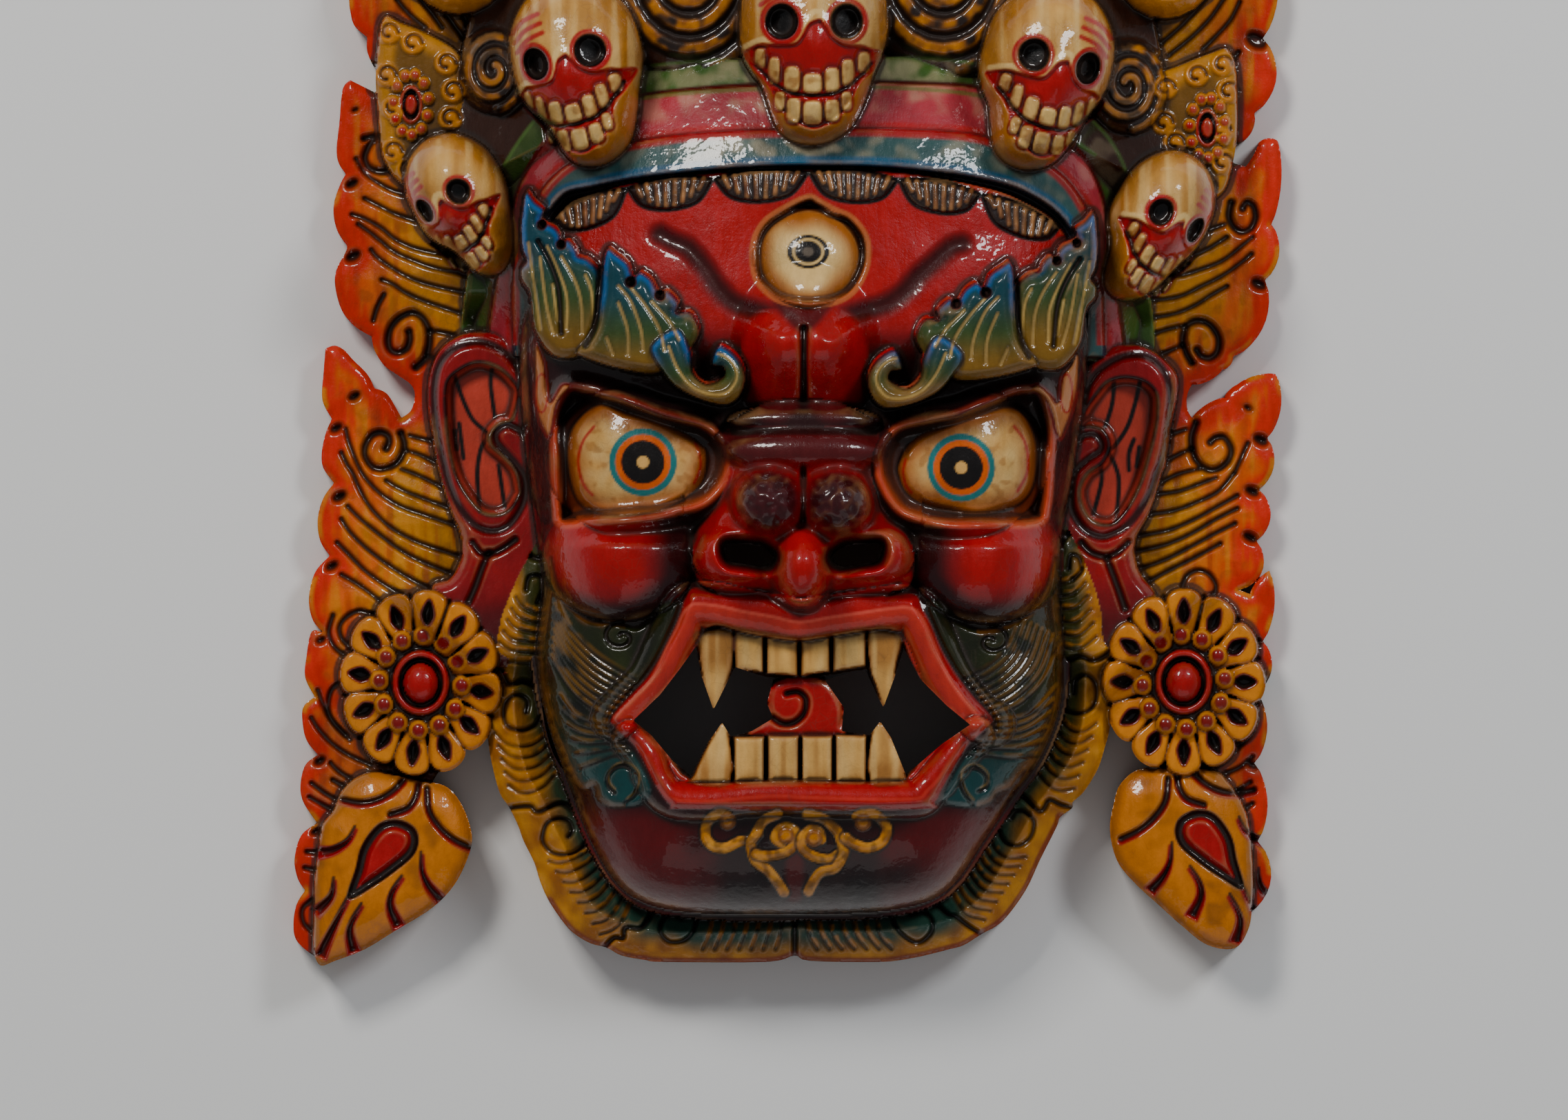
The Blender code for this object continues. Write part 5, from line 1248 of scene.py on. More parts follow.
def wedge(line, wide):
    """The outline of a cut that widens along its line."""
    path = curve(line)
    run = np.gradient(path, axis=0)
    out = np.stack([-run[:, 1], run[:, 0]], 1) / np.hypot(run[:, 0], run[:, 1])[:, None]
    out *= np.linspace(0.4, 0.5 * wide, len(path))[:, None]
    return np.concatenate([path + out, (path - out)[::-1]])


def turned(points, flip):
    """The points, or their mirror image for the right side."""
    return other_side(points) if flip else points


def pendants():
    """A gilded leaf below each ear, with red cuts and a sunk drop."""
    for flip, outline in ((False, LEAF_PENDANT), (True, LEAF_PENDANT_RIGHT)):
        box, d = plate(curve(outline, True), lambda u, v, d: PENDANT_LEVEL + 4 * smoothstep(0, 14, d), 6,
                       srgb(188, 108, 6), "pendants", reach=16)
        worn = smoothstep(0.5, 0.1, 0.6 * MOTTLE[box] + 0.4 * STREAK[box])
        paint(box, 0.6 * soft(d) * worn, srgb(110, 62, 14))
        paint(box, 0.5 * soft(d) * smoothstep(6, 1, d), srgb(120, 66, 14))
        rise = np.array((-1.2 if flip else 0.0, 4.5 if flip else 0.0))
        for line in PENDANT_CUTS[1:-1]:
            path = np.array(other_side(line)[::-1] if flip else line) + rise
            box, d = sink(wedge(path, 6.5), 4.5, 2)
            paint(box, soft(d + 0.5, 0.6), srgb(140, 10, 14))
            stroke(curve(path) + np.array((0.8 if flip else -0.8, 1.4)), 1.6, INK, 0.9)
        for line in (PENDANT_CUTS[0], PENDANT_CUTS[-1], COLLAR):
            path = curve(turned(line, flip)) + rise
            stroke(path + np.array((0, -1.2)), 3.6, srgb(140, 14, 16))
            groove(path, 3.2, 3.6, INK)
        drop = curve(turned(DROP, flip), True) + rise
        box, d = depth_inside(drop, 12)
        Z[box] -= 3.5 * smoothstep(-1, 1.5, d) * smoothstep(5.5, 2.5, d)
        paint(box, soft(d + 0.8), INK)
        paint(box, soft(d - 3.0), RED)


# Centre and turn of each rosette, and one petal with its slot, outwards and across from its middle
ROSETTES = [(-170, -57.5, 0.0), (187, -57, 7.0)]
PETALS = 12
PETAL_RADIUS = 28.5
PETAL = [(-12, 3.5), (-4, 6.5), (4, 9.2), (8.5, 8.2), (11, 4.6), (11.8, 0), (11, -4.6), (8.5, -8.2),
         (4, -9.2), (-4, -6.5), (-12, -3.5)]
PETAL_SLOT = [(-4, 0), (1, 3.2), (7.5, 0), (1, -3.2)]


def rosettes():
    """Petals with a slot in each, a ring of beads and a red boss; upright ovals as seen from in front."""
    for cu, cv, spin in ROSETTES:
        def spot(radius, angle, across=0.0):
            angle = np.radians(angle)
            x = radius * np.cos(angle) - across * np.sin(angle)
            y = radius * np.sin(angle) + across * np.cos(angle)
            return cu + 0.95 * x, cv + 1.09 * y

        def round_about(radius):
            return [spot(radius, 12 * k) for k in range(30)]

        def level(u, v, d):
            inward = (u - cu) * np.sign(MIDDLE_U - cu)
            return ROSETTE_LEVEL + 13 * smoothstep(12, 28, 0.7 * (inward + v - cv))

        for k in range(PETALS):
            angle = 83 + 30 * k + spin
            shape = [spot(PETAL_RADIUS + x, angle, y) for x, y in PETAL]
            box, d = plate(curve(shape, True), level, 3, srgb(200, 120, 8), "rosettes", reach=8)
            # Painted shade: brown along each petal's edge and towards its root at the heart
            paint(box, 0.6 * soft(d) * smoothstep(2.2, 0.3, d), srgb(112, 52, 8))
            from_heart = np.hypot(U[box] - cu, V[box] - cv)
            paint(box, 0.5 * soft(d) * smoothstep(30, 21, from_heart), srgb(110, 46, 8))
            slot = curve([spot(PETAL_RADIUS + x, angle, y) for x, y in PETAL_SLOT], True)
            box, d = sink(slot, 6, 2)
            paint(box, soft(d + 0.8), srgb(104, 14, 14))
            paint(box, soft(d - 0.2), INK)
            groove([spot(20, angle + 15), spot(38, angle + 15)], 1.6, 2.4, BROWN)
        plate(round_about(19.5), ROSETTE_LEVEL - 2, 3, BROWN, "rosettes", reach=5)
        for k in range(PETALS):
            bead = spot(20.3, 87 + 30 * k + spin)
            dome(bead, (4.5, 4.9), 5, ROSETTE_LEVEL)
            paint(*near(bead, 4.6), GOLD)
            paint(*near(bead, 3.0), srgb(120, 3, 6))
            PIECE[window([bead], 3)] = NAMES.index("rosettes")
        plate(round_about(14), ROSETTE_LEVEL + 4, 2.5, RED, "rosettes")
        sink(round_about(11.4), 8, 1.2)
        fill(round_about(11.4), srgb(84, 8, 12))
        box, q = dome((cu, cv), (8.2, 9.4), 7, ROSETTE_LEVEL)
        paint(box, smoothstep(1.5, 1.2, q), INK)
        paint(box, soft(1 - q, 0.08), RED)


# Centre, half width and height, turn, top level and sideways turn of each skull; the rest in half sizes
SKULLS = [
    ((-149, 166), (23, 36), 30, 92, -26), ((-95, 228), (31, 45), 14, 124, -14),
    ((14, 242), (35, 49), 0, 138, 0), ((121, 226), (31, 45), -14, 124, 14),
    ((173, 156), (23, 38), -28, 92, 26)]
SKULL_OUTLINE = [(0, 1), (0.55, 0.88), (0.92, 0.55), (1, 0.15), (0.93, -0.1), (0.82, -0.28),
                 (0.65, -0.62), (0.45, -0.86), (0.1, -0.99), (-0.25, -0.97), (-0.5, -0.82),
                 (-0.68, -0.45), (-0.85, -0.28), (-0.97, -0.1), (-1, 0.15), (-0.92, 0.55), (-0.55, 0.88)]
SKULL_MASK = [(-0.98, -0.1), (-0.79, -0.01), (-0.535, -0.01), (-0.28, 0), (-0.17, 0.08), (-0.085, 0.184),
              (0.03, 0.224), (0.11, 0.224), (0.2, 0.143), (0.28, 0.06), (0.45, -0.01), (0.68, -0.02),
              (0.79, -0.05), (0.98, -0.1), (0.85, -0.26), (0.65, -0.4), (0.5, -0.6), (0.28, -0.76),
              (0, -0.83), (-0.28, -0.76), (-0.5, -0.62), (-0.65, -0.42), (-0.85, -0.26)]
SKULL_BRIDGE = [(-0.95, -0.04), (-0.73, 0.03), (-0.48, 0.02), (-0.31, 0.05), (-0.17, 0.163),
                (-0.03, 0.28), (0.05, 0.3), (0.13, 0.28), (0.2, 0.18)]
SKULL_SMILE = [(-0.8, -0.22), (-0.62, -0.35), (-0.45, -0.44), (-0.25, -0.49), (0, -0.505), (0.25, -0.49),
               (0.45, -0.43), (0.65, -0.32), (0.8, -0.2)]
SKULL_TEETH = [(-0.75, -0.15, 0.13, 0.19), (-0.56, -0.27, 0.14, 0.26), (-0.31, -0.35, 0.21, 0.25),
               (-0.02, -0.39, 0.26, 0.19), (0.26, -0.36, 0.2, 0.24), (0.48, -0.29, 0.16, 0.26),
               (0.7, -0.19, 0.15, 0.2), (-0.48, -0.56, 0.14, 0.18), (-0.29, -0.65, 0.19, 0.24),
               (-0.02, -0.67, 0.26, 0.23), (0.26, -0.65, 0.2, 0.21), (0.46, -0.56, 0.14, 0.18)]


def skull(centre, size, turn, top, yaw):
    """A grinning skull, its face turned sideways by yaw."""
    wide, tall = size
    c, s = np.cos(np.radians(turn)), np.sin(np.radians(turn))

    def at(points, round_head=True):
        a, b = np.asarray(points, float).T
        if round_head:
            a = np.sin(np.arcsin(np.clip(a, -0.999, 0.999)) * 0.94 + np.radians(yaw))
        a, b = a * wide, b * tall
        return np.stack((centre[0] + a * c - b * s, centre[1] + a * s + b * c), 1)

    outline = curve(at(SKULL_OUTLINE, False), True, 5)
    plate(outline, lambda u, v, d: top - 26 + 26 * np.sqrt(1 - (1 - np.clip(d / wide, 0, 1)) ** 2),
          wide * 0.5, BONE, "skulls", reach=wide + 1)
    box, d = depth_inside(outline, 12)
    b_axis = ((V[box] - centre[1]) * c - (U[box] - centre[0]) * s) / tall
    jaw = smoothstep(-0.05, -0.3, b_axis)
    patina = np.clip(smoothstep(15, 0, d) + 0.7 * MOTTLE[box] - 0.1, 0, 1)
    paint(box, soft(d) * patina * 0.9, srgb(158, 98, 24))
    paint(box, 0.6 * soft(d - 2) * smoothstep(0.5, 0.85, GRAIN[box]), CREAM)
    paint(box, 0.5 * soft(d - 2) * smoothstep(0.45, 0.1, GRAIN[box]), srgb(150, 96, 30))
    paint(box, soft(d) * jaw * (0.75 + 0.25 * GRIT[box]), blend(GOLD, OCHRE, 0.55))
    cheek = curve(at(SKULL_MASK), True)
    sink(cheek, 2.6, 1.6)
    fill(cheek, RED, 0.5)
    bridge = at([(0, -0.02)])[0]
    spot = window([bridge], wide)
    q = ((U[spot] - bridge[0]) / (0.3 * wide)) ** 2 + ((V[spot] - bridge[1]) / (0.3 * tall)) ** 2
    Z[spot] += 4.5 * np.exp(-1.2 * q)
    stroke(curve(at(SKULL_BRIDGE)), 2.6, CREAM)
    for x in (-0.455, 0.46):
        for rx, ry, colour in ((0.31, 0.228, RED), (0.24, 0.178, INK)):
            t = np.linspace(0, 2 * np.pi, 28, endpoint=False)
            ring = at(np.stack((x + rx * np.cos(t), 0.2 + ry * np.sin(t)), 1))
            if colour is INK:
                sink(ring, 9, 2.5)
            fill(ring, colour, 0.5)
    for x, y, w, h in SKULL_TEETH:
        t = np.linspace(0, 2 * np.pi, 20, endpoint=False)
        cx = np.sign(np.cos(t)) * np.abs(np.cos(t)) ** 0.6 * w * 0.52
        cy = np.sign(np.sin(t)) * np.abs(np.sin(t)) ** 0.6 * h * 0.49
        tooth = at(np.stack((x + cx, y + cy), 1))
        box, d = depth_inside(tooth, 4)
        Z[box] += 1.6 * smoothstep(-0.8, 1.2, d) - 0.8 * smoothstep(1.6, 0.2, np.abs(d + 0.9))
        paint(box, 0.9 * soft(d + 1.2, 0.4), srgb(136, 12, 12))
        aged = np.clip(0.55 * smoothstep(0.45, 0.9, GRIT[box]) + 0.45 * abs(x), 0, 1)
        paint(box, soft(d, 0.4), blend(srgb(214, 176, 104), OCHRE, aged))
    groove(curve(at(SKULL_SMILE)), 1.8, 3, INK)
    for lift in (0, 0.1, 0.2):
        side = 1 if yaw > 0 else -1
        stroke(curve(at([(side * 0.2, 0.5 + lift), (side * 0.5, 0.46 + lift),
                         (side * 0.75, 0.36 + lift)])), 2.3, RED, 0.95)


def skulls():
    """The five skulls of the crown."""
    for shape in SKULLS:
        skull(*shape)


def shade_feet():
    """Give the foot of each steep wall a darker tone of what stands above it."""
    high, tone = Z.copy(), PAINT.copy()
    for axis in (0, 1):
        for step in (-1, 1):
            above = np.roll(Z, step, axis) > high
            high = np.where(above, np.roll(Z, step, axis), high)
            tone = np.where(above[..., None], np.roll(PAINT, step, axis), tone)
    foot = smoothstep(2, 6, high - Z)[..., None]
    PAINT[...] += foot * (0.35 * tone - PAINT)


def carve():
    """Every part in turn, later ones over earlier ones, and the unevenness of the knife."""
    for carver in (boards, crown, headband, ears, face, eyes, temples, brows, nose, mouth, chin, moustache,
                   beard, pendants, rosettes, skulls):
        carver()
    shade_feet()
    Z[...] += 0.5 * (MOTTLE - 0.5) + 0.05 * (GRIT - 0.5)


def corner_rings(flags):
    """The corners kept and the edges crossed, in turn round one square of the grid."""
    run = []
    for k in range(4):
        if flags[k]:
            run.append(("corner", k))
        if flags[k] != flags[(k + 1) % 4]:
            run.append(("cross", k))
    if len(run) == 6 and sum(flags) == 2 and flags[0] == flags[2]:
        return [run[:3], run[3:]] if flags[0] else [run[5:] + run[:2], run[2:5]]
    return [run]


class Surface:
    """The front, the back and the side walls as points and polygons."""

    def __init__(self, back):
        self.back = back
        inside = np.where(np.abs(INSIDE) < 0.02, 0.02, INSIDE)
        self.inside = inside
        self.keep = inside > 0
        self.index = np.full(U.shape, -1)
        self.index[self.keep] = np.arange(self.keep.sum())
        self.u = list(U[self.keep])
        self.v = list(V[self.keep])
        self.z = list(Z[self.keep])
        self.low = list(back[self.keep])
        self.source = list(np.flatnonzero(self.keep.ravel()))
        self.spots = {}

    def crossing(self, a, b):
        """The point on the outline between two neighbouring grid points, made once."""
        key = (min(a, b), max(a, b))
        if key not in self.spots:
            (j0, i0), (j1, i1) = key
            d0, d1 = self.inside[j0, i0], self.inside[j1, i1]
            t = np.clip(d0 / (d0 - d1), 0.06, 0.94)
            j, i = (j0, i0) if d0 > 0 else (j1, i1)
            self.spots[key] = len(self.u)
            self.u.append(US[i0] + t * (US[i1] - US[i0]))
            self.v.append(VS[j0] + t * (VS[j1] - VS[j0]))
            self.z.append(Z[j, i])
            self.low.append(self.back[j, i])
            self.source.append(j * U.shape[1] + i)
        return self.spots[key]

    def polygons(self):
        """Front polygons, the piece of each, and the side walls' outer edges."""
        keep = self.keep
        whole = keep[:-1, :-1] & keep[:-1, 1:] & keep[1:, 1:] & keep[1:, :-1]
        some = (keep[:-1, :-1] | keep[:-1, 1:] | keep[1:, 1:] | keep[1:, :-1]) & ~whole
        j, i = np.nonzero(whole)
        quads = np.stack([self.index[j, i], self.index[j, i + 1], self.index[j + 1, i + 1],
                          self.index[j + 1, i]], 1)
        quad_piece = PIECE[j, i]
        rings, ring_piece, walls = [], [], []
        for j, i in zip(*np.nonzero(some)):
            square = [(j, i), (j, i + 1), (j + 1, i + 1), (j + 1, i)]
            flags = [bool(keep[spot]) for spot in square]
            for run in corner_rings(flags):
                ring = [self.index[square[k]] if kind == "corner"
                        else self.crossing(square[k], square[(k + 1) % 4]) for kind, k in run]
                first = next(square[k] for kind, k in run if kind == "corner")
                rings.append(ring)
                ring_piece.append(PIECE[first])
                for n, (kind, k) in enumerate(run):
                    if kind == "cross" and run[(n + 1) % len(run)][0] == "cross":
                        walls.append((ring[n], ring[(n + 1) % len(run)], PIECE[first]))
        return quads, quad_piece, rings, ring_piece, walls, whole


def least_nearby(z, reach):
    """The lowest height within reach steps of each point."""
    for axis in (0, 1):
        low = z.copy()
        for k in range(1, reach + 1):
            low = np.minimum(low, np.minimum(np.roll(z, k, axis), np.roll(z, -k, axis)))
        z = low
    return z


def hollow_back():
    """Flat at the rim, and scooped out behind the face."""
    every = (slice(None), slice(None))
    inset = depth_inside(curve(FACE, True), 50, every)[1] - RIM_WIDTH
    for edge in (BLUE_EDGE, BROW_EDGE):
        inset = np.maximum(inset, depth_inside(curve(edge), 50, every)[1] - RIM_WIDTH)
    shell = softened(least_nearby(np.where(INSIDE > -2, Z, 1e3), int(WALL / STEP)) - WALL, 3)
    return np.where(inset > 0, np.minimum(np.clip(shell, 0, 135) * smoothstep(0, 26, inset),
                                          np.maximum(Z - LEAST_WALL, 0)), 0.0)


def node(tree, kind, **values):
    """A shader node with its settings, and its inputs' values as in_ and the input's name or number."""
    made = tree.nodes.new(kind)
    for name, value in values.items():
        if name.startswith("in_"):
            key = name[3:]
            made.inputs[int(key) if key.isdigit() else key.replace("_", " ")].default_value = value
        else:
            setattr(made, name, value)
    return made


# How strongly the painted wood shows its marks and wear, its patina and painted shade in cuts and hollows,
# and how matt it is
BRUSH_MARKS = 0.6
CRACKLE = 0.2
PATINA_AND_SHADE = 0.8
ROUGHNESS = 0.3
PLAIN_WEAR = 0.3


def painted(name, wear=PLAIN_WEAR):
    """Varnished paint over carved wood: brush marks, fine cracks, worn edges, and dark cuts and hollows,
    as patina in the narrow cuts and painted shade in the broad hollows.
    """
    material = bpy.data.materials.new(name)
    material.use_nodes = True
    tree = material.node_tree
    link = tree.links.new
    shader = tree.nodes["Principled BSDF"]
    where = node(tree, "ShaderNodeTexCoord")
    colour = node(tree, "ShaderNodeAttribute", attribute_name="paint")
    cut = node(tree, "ShaderNodeAttribute", attribute_name="cut")
    brush_map = node(tree, "ShaderNodeMapping", in_Scale=(240, 90, 120))
    link(where.outputs["Object"], brush_map.inputs["Vector"])
    brush = node(tree, "ShaderNodeTexNoise", in_Scale=1.0, in_Detail=5.0, in_Roughness=0.62)
    link(brush_map.outputs[0], brush.inputs["Vector"])
    cloud = node(tree, "ShaderNodeTexNoise", in_Scale=34.0, in_Detail=6.0, in_Roughness=0.6)
    link(where.outputs["Object"], cloud.inputs["Vector"])
    speck = node(tree, "ShaderNodeTexNoise", in_Scale=620.0, in_Detail=3.0, in_Roughness=0.7)
    link(where.outputs["Object"], speck.inputs["Vector"])
    cracks = node(tree, "ShaderNodeTexVoronoi", feature="DISTANCE_TO_EDGE", in_Scale=170.0)
    link(where.outputs["Object"], cracks.inputs["Vector"])

    def math(kind, a, b):
        made = node(tree, "ShaderNodeMath", operation=kind)
        for k, x in enumerate((a, b)):
            if isinstance(x, (int, float)):
                made.inputs[k].default_value = x
            else:
                link(x, made.inputs[k])
        return made.outputs[0]

    def ranged(x, a, b, c, d):
        made = node(tree, "ShaderNodeMapRange", in_1=a, in_2=b, in_3=c, in_4=d)
        link(x, made.inputs[0])
        return made.outputs[0]

    def mixed(share, a, b, kind="MIX"):
        made = node(tree, "ShaderNodeMix", data_type="RGBA", blend_type=kind)
        for socket, x in ((made.inputs[0], share), (made.inputs[6], a), (made.inputs[7], b)):
            if hasattr(x, "links"):
                link(x, socket)
            else:
                socket.default_value = x
        return made.outputs[2]

    tone = mixed(ranged(brush.outputs["Fac"], 0.3, 0.7, 0.0, 1.0), (0.82, 0.8, 0.78, 1),
                 (1.14, 1.13, 1.1, 1))
    brushed = mixed(1.0, colour.outputs["Color"], tone, "MULTIPLY")
    base = mixed(BRUSH_MARKS, colour.outputs["Color"], brushed)
    blotch = ranged(cloud.outputs["Fac"], 0.42, 0.68, 0.0, 0.5)
    base = mixed(math("MULTIPLY", blotch, 0.45), base, (0.10, 0.045, 0.02, 1), "MULTIPLY")
    # The narrow cuts darken as patina and the broad hollows as painted shade
    dark = math("ADD", math("MULTIPLY", cut.outputs["Color"], 0.9),
                math("MULTIPLY", math("SUBTRACT", cloud.outputs["Fac"], 0.5), 0.35))
    base = mixed(ranged(dark, 0.12, 0.75, 0.0, PATINA_AND_SHADE), base, (0.022, 0.013, 0.01, 1))
    edge = math("MULTIPLY", ranged(cut.outputs["Alpha"], 0.3, 1.0, 0.0, 1.0),
                ranged(cloud.outputs["Fac"], 0.45, 0.62, 0.0, wear))
    base = mixed(edge, base, (0.42, 0.22, 0.08, 1))
    line = math("MULTIPLY", ranged(cracks.outputs["Distance"], 0.0, 0.03, CRACKLE, 0.0),
                ranged(cloud.outputs["Fac"], 0.45, 0.6, 0.0, 1.0))
    base = mixed(line, base, (0.05, 0.03, 0.02, 1))
    link(base, shader.inputs["Base Color"])
    matt = math("ADD", ranged(brush.outputs["Fac"], 0.3, 0.75, ROUGHNESS - 0.07, ROUGHNESS + 0.14),
                math("MULTIPLY", cut.outputs["Color"], 0.25))
    link(matt, shader.inputs["Roughness"])
    shader.inputs["Specular IOR Level"].default_value = 0.12
    shader.inputs["Coat Weight"].default_value = 0.75
    shader.inputs["Coat Roughness"].default_value = 0.08
    shader.inputs["Coat IOR"].default_value = 1.42
    height = math("ADD", math("MULTIPLY", brush.outputs["Fac"], 0.6),
                  math("ADD", math("MULTIPLY", speck.outputs["Fac"], 0.25),
                       math("MULTIPLY", cloud.outputs["Fac"], 0.9)))
    bump = node(tree, "ShaderNodeBump", in_Strength=0.75, in_Distance=0.0009)
    link(height, bump.inputs["Height"])
    link(bump.outputs[0], shader.inputs["Normal"])
    ripple = node(tree, "ShaderNodeTexNoise", in_Scale=210.0, in_Detail=2.0, in_Roughness=0.5)
    link(where.outputs["Object"], ripple.inputs["Vector"])
    varnish = node(tree, "ShaderNodeBump", in_Strength=0.5, in_Distance=0.0007)
    link(ripple.outputs["Fac"], varnish.inputs["Height"])
    link(varnish.outputs[0], shader.inputs["Coat Normal"])
    return material


def plain_wood():
    """The bare, oiled wood of the back, with the marks of the gouge."""
    material = bpy.data.materials.new("bare_back_wood")
    material.use_nodes = True
    tree = material.node_tree
    link = tree.links.new
    shader = tree.nodes["Principled BSDF"]
    where = node(tree, "ShaderNodeTexCoord")
    along = node(tree, "ShaderNodeMapping", in_Scale=(60, 5, 60))
    link(where.outputs["Object"], along.inputs["Vector"])
    grain = node(tree, "ShaderNodeTexNoise", in_Scale=2.2, in_Detail=8.0, in_Roughness=0.65,
                 in_Distortion=0.6)
    link(along.outputs[0], grain.inputs["Vector"])
    gouge = node(tree, "ShaderNodeTexVoronoi", feature="SMOOTH_F1", in_Scale=52.0)
    link(where.outputs["Object"], gouge.inputs["Vector"])
    ramp = node(tree, "ShaderNodeValToRGB")
    ramp.color_ramp.elements[0].color = (0.09, 0.045, 0.02, 1)
    ramp.color_ramp.elements[0].position = 0.3
    ramp.color_ramp.elements[1].color = (0.3, 0.17, 0.085, 1)
    ramp.color_ramp.elements[1].position = 0.72
    link(grain.outputs["Fac"], ramp.inputs["Fac"])
    link(ramp.outputs["Color"], shader.inputs["Base Color"])
    shader.inputs["Roughness"].default_value = 0.62
    bump = node(tree, "ShaderNodeBump", in_Strength=0.6, in_Distance=0.0012)
    join = node(tree, "ShaderNodeMath", operation="ADD")
    link(grain.outputs["Fac"], join.inputs[0])
    link(gouge.outputs["Distance"], join.inputs[1])
    link(join.outputs[0], bump.inputs["Height"])
    link(bump.outputs[0], shader.inputs["Normal"])
    return material


def shade_data():
    """How far each point lies below and stands above what is round it; the first darkens the paint, as
    patina in the narrow cuts and painted shade in the broad hollows.
    """
    close, far = softened(Z, 1.6, 2), softened(Z, 6.0, 2)
    in_beard = PIECE == NAMES.index("beard")
    # Patina in the narrow cuts and painted shade in the broad hollows, both lighter on the beard
    hollow = (np.clip((close - Z) / 1.1, 0, 1) * np.where(in_beard, 0.45, 0.7)
              + np.clip((far - Z) / 11.0, 0, 1) * np.where(in_beard, 0.05, 0.32))
    return hollow, np.clip((Z - close) / 0.9, 0, 1)


def back_quads(index, whole):
    """The plainer back: squares BACK_STEPS grid steps wide where they fit, and single ones round them."""
    size = BACK_STEPS
    blocks = []
    covered = np.zeros_like(whole)
    for j in range(0, whole.shape[0] - size, size):
        full = whole[j:j + size, :]
        for i in range(0, whole.shape[1] - size, size):
            if full[:, i:i + size].all():
                covered[j:j + size, i:i + size] = True
                blocks.append((index[j, i], index[j + size, i], index[j + size, i + size],
                               index[j, i + size]))
    j, i = np.nonzero(whole & ~covered)
    fine = np.stack([index[j, i], index[j + 1, i], index[j + 1, i + 1], index[j, i + 1]], 1)
    return np.array(blocks), fine


def make_piece(name, points, polygons, material, layers):
    """One named mesh from the shared points, with its share of the shading data."""
    flat = np.concatenate([np.asarray(p).ravel() for p in polygons]).astype(int)
    sizes = np.concatenate([np.full(len(p), np.asarray(p).shape[1]) if np.ndim(p) == 2 else [len(p)]
                            for p in polygons]).astype(int)
    used, local = np.unique(flat, return_inverse=True)
    mesh = bpy.data.meshes.new(name)
    mesh.vertices.add(len(used))
    mesh.vertices.foreach_set("co", (points[used] * 0.001).ravel())
    mesh.loops.add(len(flat))
    mesh.loops.foreach_set("vertex_index", local.ravel().astype(np.int32))
    mesh.polygons.add(len(sizes))
    starts = np.concatenate([[0], np.cumsum(sizes)[:-1]])
    mesh.polygons.foreach_set("loop_start", starts.astype(np.int32))
    mesh.update(calc_edges=True)
    mesh.validate()
    for key, data in layers.items():
        layer = mesh.color_attributes.new(key, "FLOAT_COLOR", "POINT")
        layer.data.foreach_set("color", data[used].ravel().astype(np.float32))
    mesh.materials.append(material)
    mesh.shade_smooth()
    piece = bpy.data.objects.new(name, mesh)
    bpy.context.scene.collection.objects.link(piece)
    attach(piece, "root")
    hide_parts("mahakala_mask")
    print("piece", name, sum(len(p.vertices) - 2 for p in mesh.polygons))


def build_mask():
    """Carve the relief and turn it into the named pieces; gives the middle of the plan."""
    carve()
    hollow, proud = shade_data()
    surface = Surface(hollow_back())
    quads, quad_piece, rings, ring_piece, walls, whole = surface.polygons()
    u, v, z = (np.array(x) for x in (surface.u, surface.v, surface.z))
    low = np.array(surface.low)
    source = np.array(surface.source)
    low_u, high_u = (u * (1 - z / VIEW)).min(), (u * (1 - z / VIEW)).max()
    edge_u, edge_v = u * (1 - low / VIEW), v * (1 - low / VIEW)
    centre = np.array([0.5 * (min(low_u, edge_u.min()) + max(high_u, edge_u.max())),
                       0.5 * (edge_v.min() + edge_v.max())])
    count = len(u)

    def placed(height):
        nearer = 1 - height / VIEW
        shape = np.stack([u * nearer - centre[0], v * nearer - centre[1], height], 1)
        return np.clip(shape, np.array(CAD_LOW) * 1000, np.array(CAD_HIGH) * 1000)

    points = np.concatenate([placed(z), placed(low)])
    colours = np.concatenate([PAINT.reshape(-1, 3)[source], np.ones((count, 1))], 1)
    cut = np.repeat(hollow.reshape(-1, 1)[source], 4, axis=1)
    cut[:, 3] = proud.reshape(-1)[source]
    ring_piece = np.array(ring_piece)
    for number, name in enumerate(NAMES):
        mine = [quads[quad_piece == number]] if (quad_piece == number).any() else []
        mine += [tuple(rings[k]) for k in np.flatnonzero(ring_piece == number)]
        if not mine:
            continue
        finish = painted(name + "_paint", 0.05 if name in ("moustache", "rosettes") else PLAIN_WEAR)
        make_piece(name, points, mine, finish, {"paint": colours, "cut": cut})
    layers = {"paint": np.concatenate([colours, colours]), "cut": np.concatenate([cut, cut])}
    sides = [(b, a, a + count, b + count) for a, b, _ in walls]
    make_piece("side_walls", points, [np.array(sides)], painted("side_paint"), layers)
    under = [part + count for part in back_quads(surface.index, whole)]
    under += [tuple(k + count for k in reversed(ring)) for ring in rings]
    make_piece("hollow_back", points, under, plain_wood(), {})
    return centre


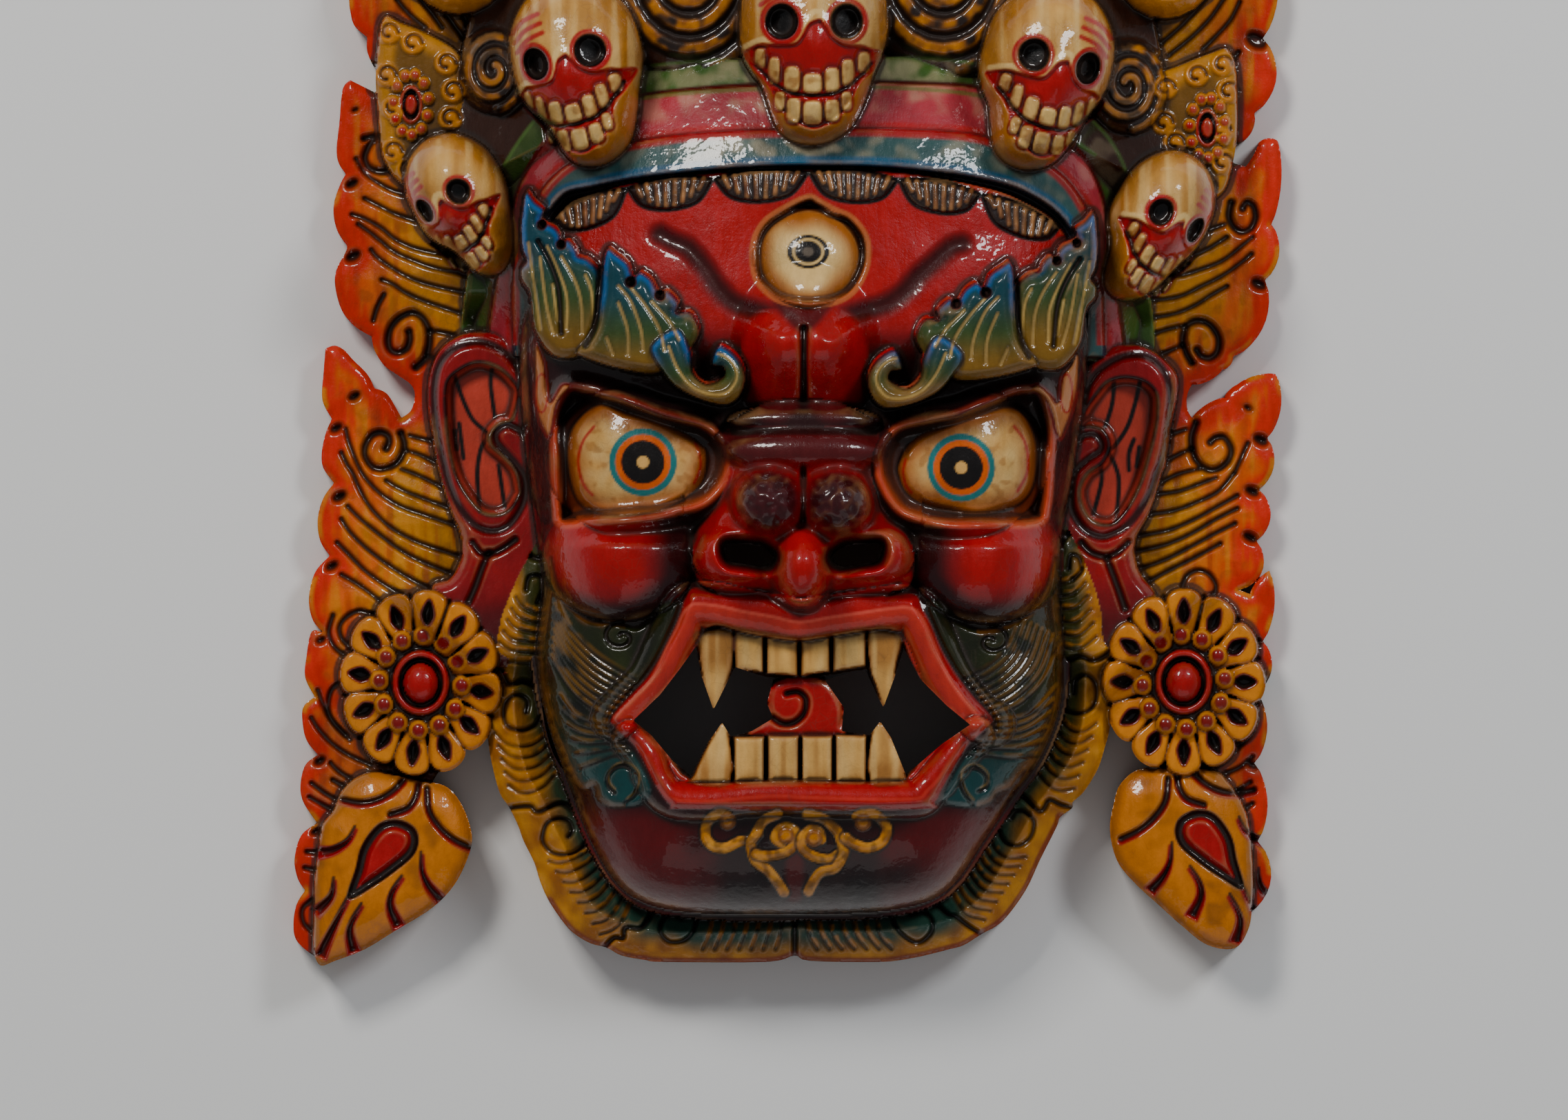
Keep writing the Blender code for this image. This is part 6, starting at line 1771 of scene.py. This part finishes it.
def lamp(name, place, size, power, colour):
    """A soft rectangular light that faces the middle of the mask."""
    data = bpy.data.lights.new(name, "AREA")
    data.shape = "RECTANGLE"
    data.size, data.size_y = size
    data.energy = power
    data.color = colour
    made = bpy.data.objects.new(name, data)
    bpy.context.scene.collection.objects.link(made)
    made.location = place
    made.rotation_euler = (-Vector(place)).to_track_quat("-Z", "Y").to_euler()


# The camera's scale, and the floor just below the flat back
PIXELS_PER_MM = 3.1
IMAGE_WIDTH = 2274
SENSOR = 36
FLOOR_HALF = 6.0
FLOOR_Z = -0.0005


def studio(centre):
    """Pale floor, soft lights, and the camera square above the point that the relief is drawn from."""
    floor_mesh = bpy.data.meshes.new("floor")
    corners = [(x * FLOOR_HALF, y * FLOOR_HALF, FLOOR_Z) for x, y in ((-1, -1), (1, -1), (1, 1), (-1, 1))]
    floor_mesh.from_pydata(corners, [], [(0, 1, 2, 3)])
    floor = bpy.data.objects.new("floor", floor_mesh)
    bpy.context.scene.collection.objects.link(floor)
    pale = bpy.data.materials.new("pale_floor")
    pale.use_nodes = True
    shader = pale.node_tree.nodes["Principled BSDF"]
    shader.inputs["Base Color"].default_value = (0.74, 0.74, 0.73, 1)
    shader.inputs["Roughness"].default_value = 0.75
    floor_mesh.materials.append(pale)
    world = bpy.data.worlds.new("studio")
    bpy.context.scene.world = world
    world.use_nodes = True
    sky = world.node_tree.nodes["Background"]
    sky.inputs["Color"].default_value = (0.9, 0.95, 1.0, 1)
    sky.inputs["Strength"].default_value = 0.24
    lamp("key", (-1.1, 1.7, 2.3), (0.8, 0.6), 58, (1.0, 0.97, 0.93))
    lamp("second", (1.5, 1.3, 2.0), (0.6, 0.5), 32, (0.95, 0.97, 1.0))
    lamp("low", (0.2, -2.2, 1.4), (2.6, 1.4), 6, (1.0, 0.98, 0.95))
    data = bpy.data.cameras.new("camera")
    data.sensor_width = SENSOR
    data.lens = SENSOR * PIXELS_PER_MM * VIEW / IMAGE_WIDTH
    camera = bpy.data.objects.new("camera", data)
    camera.location = (-centre[0] * 0.001, -centre[1] * 0.001, VIEW * 0.001)
    bpy.context.scene.collection.objects.link(camera)
    bpy.context.scene.camera = camera


studio(build_mask())
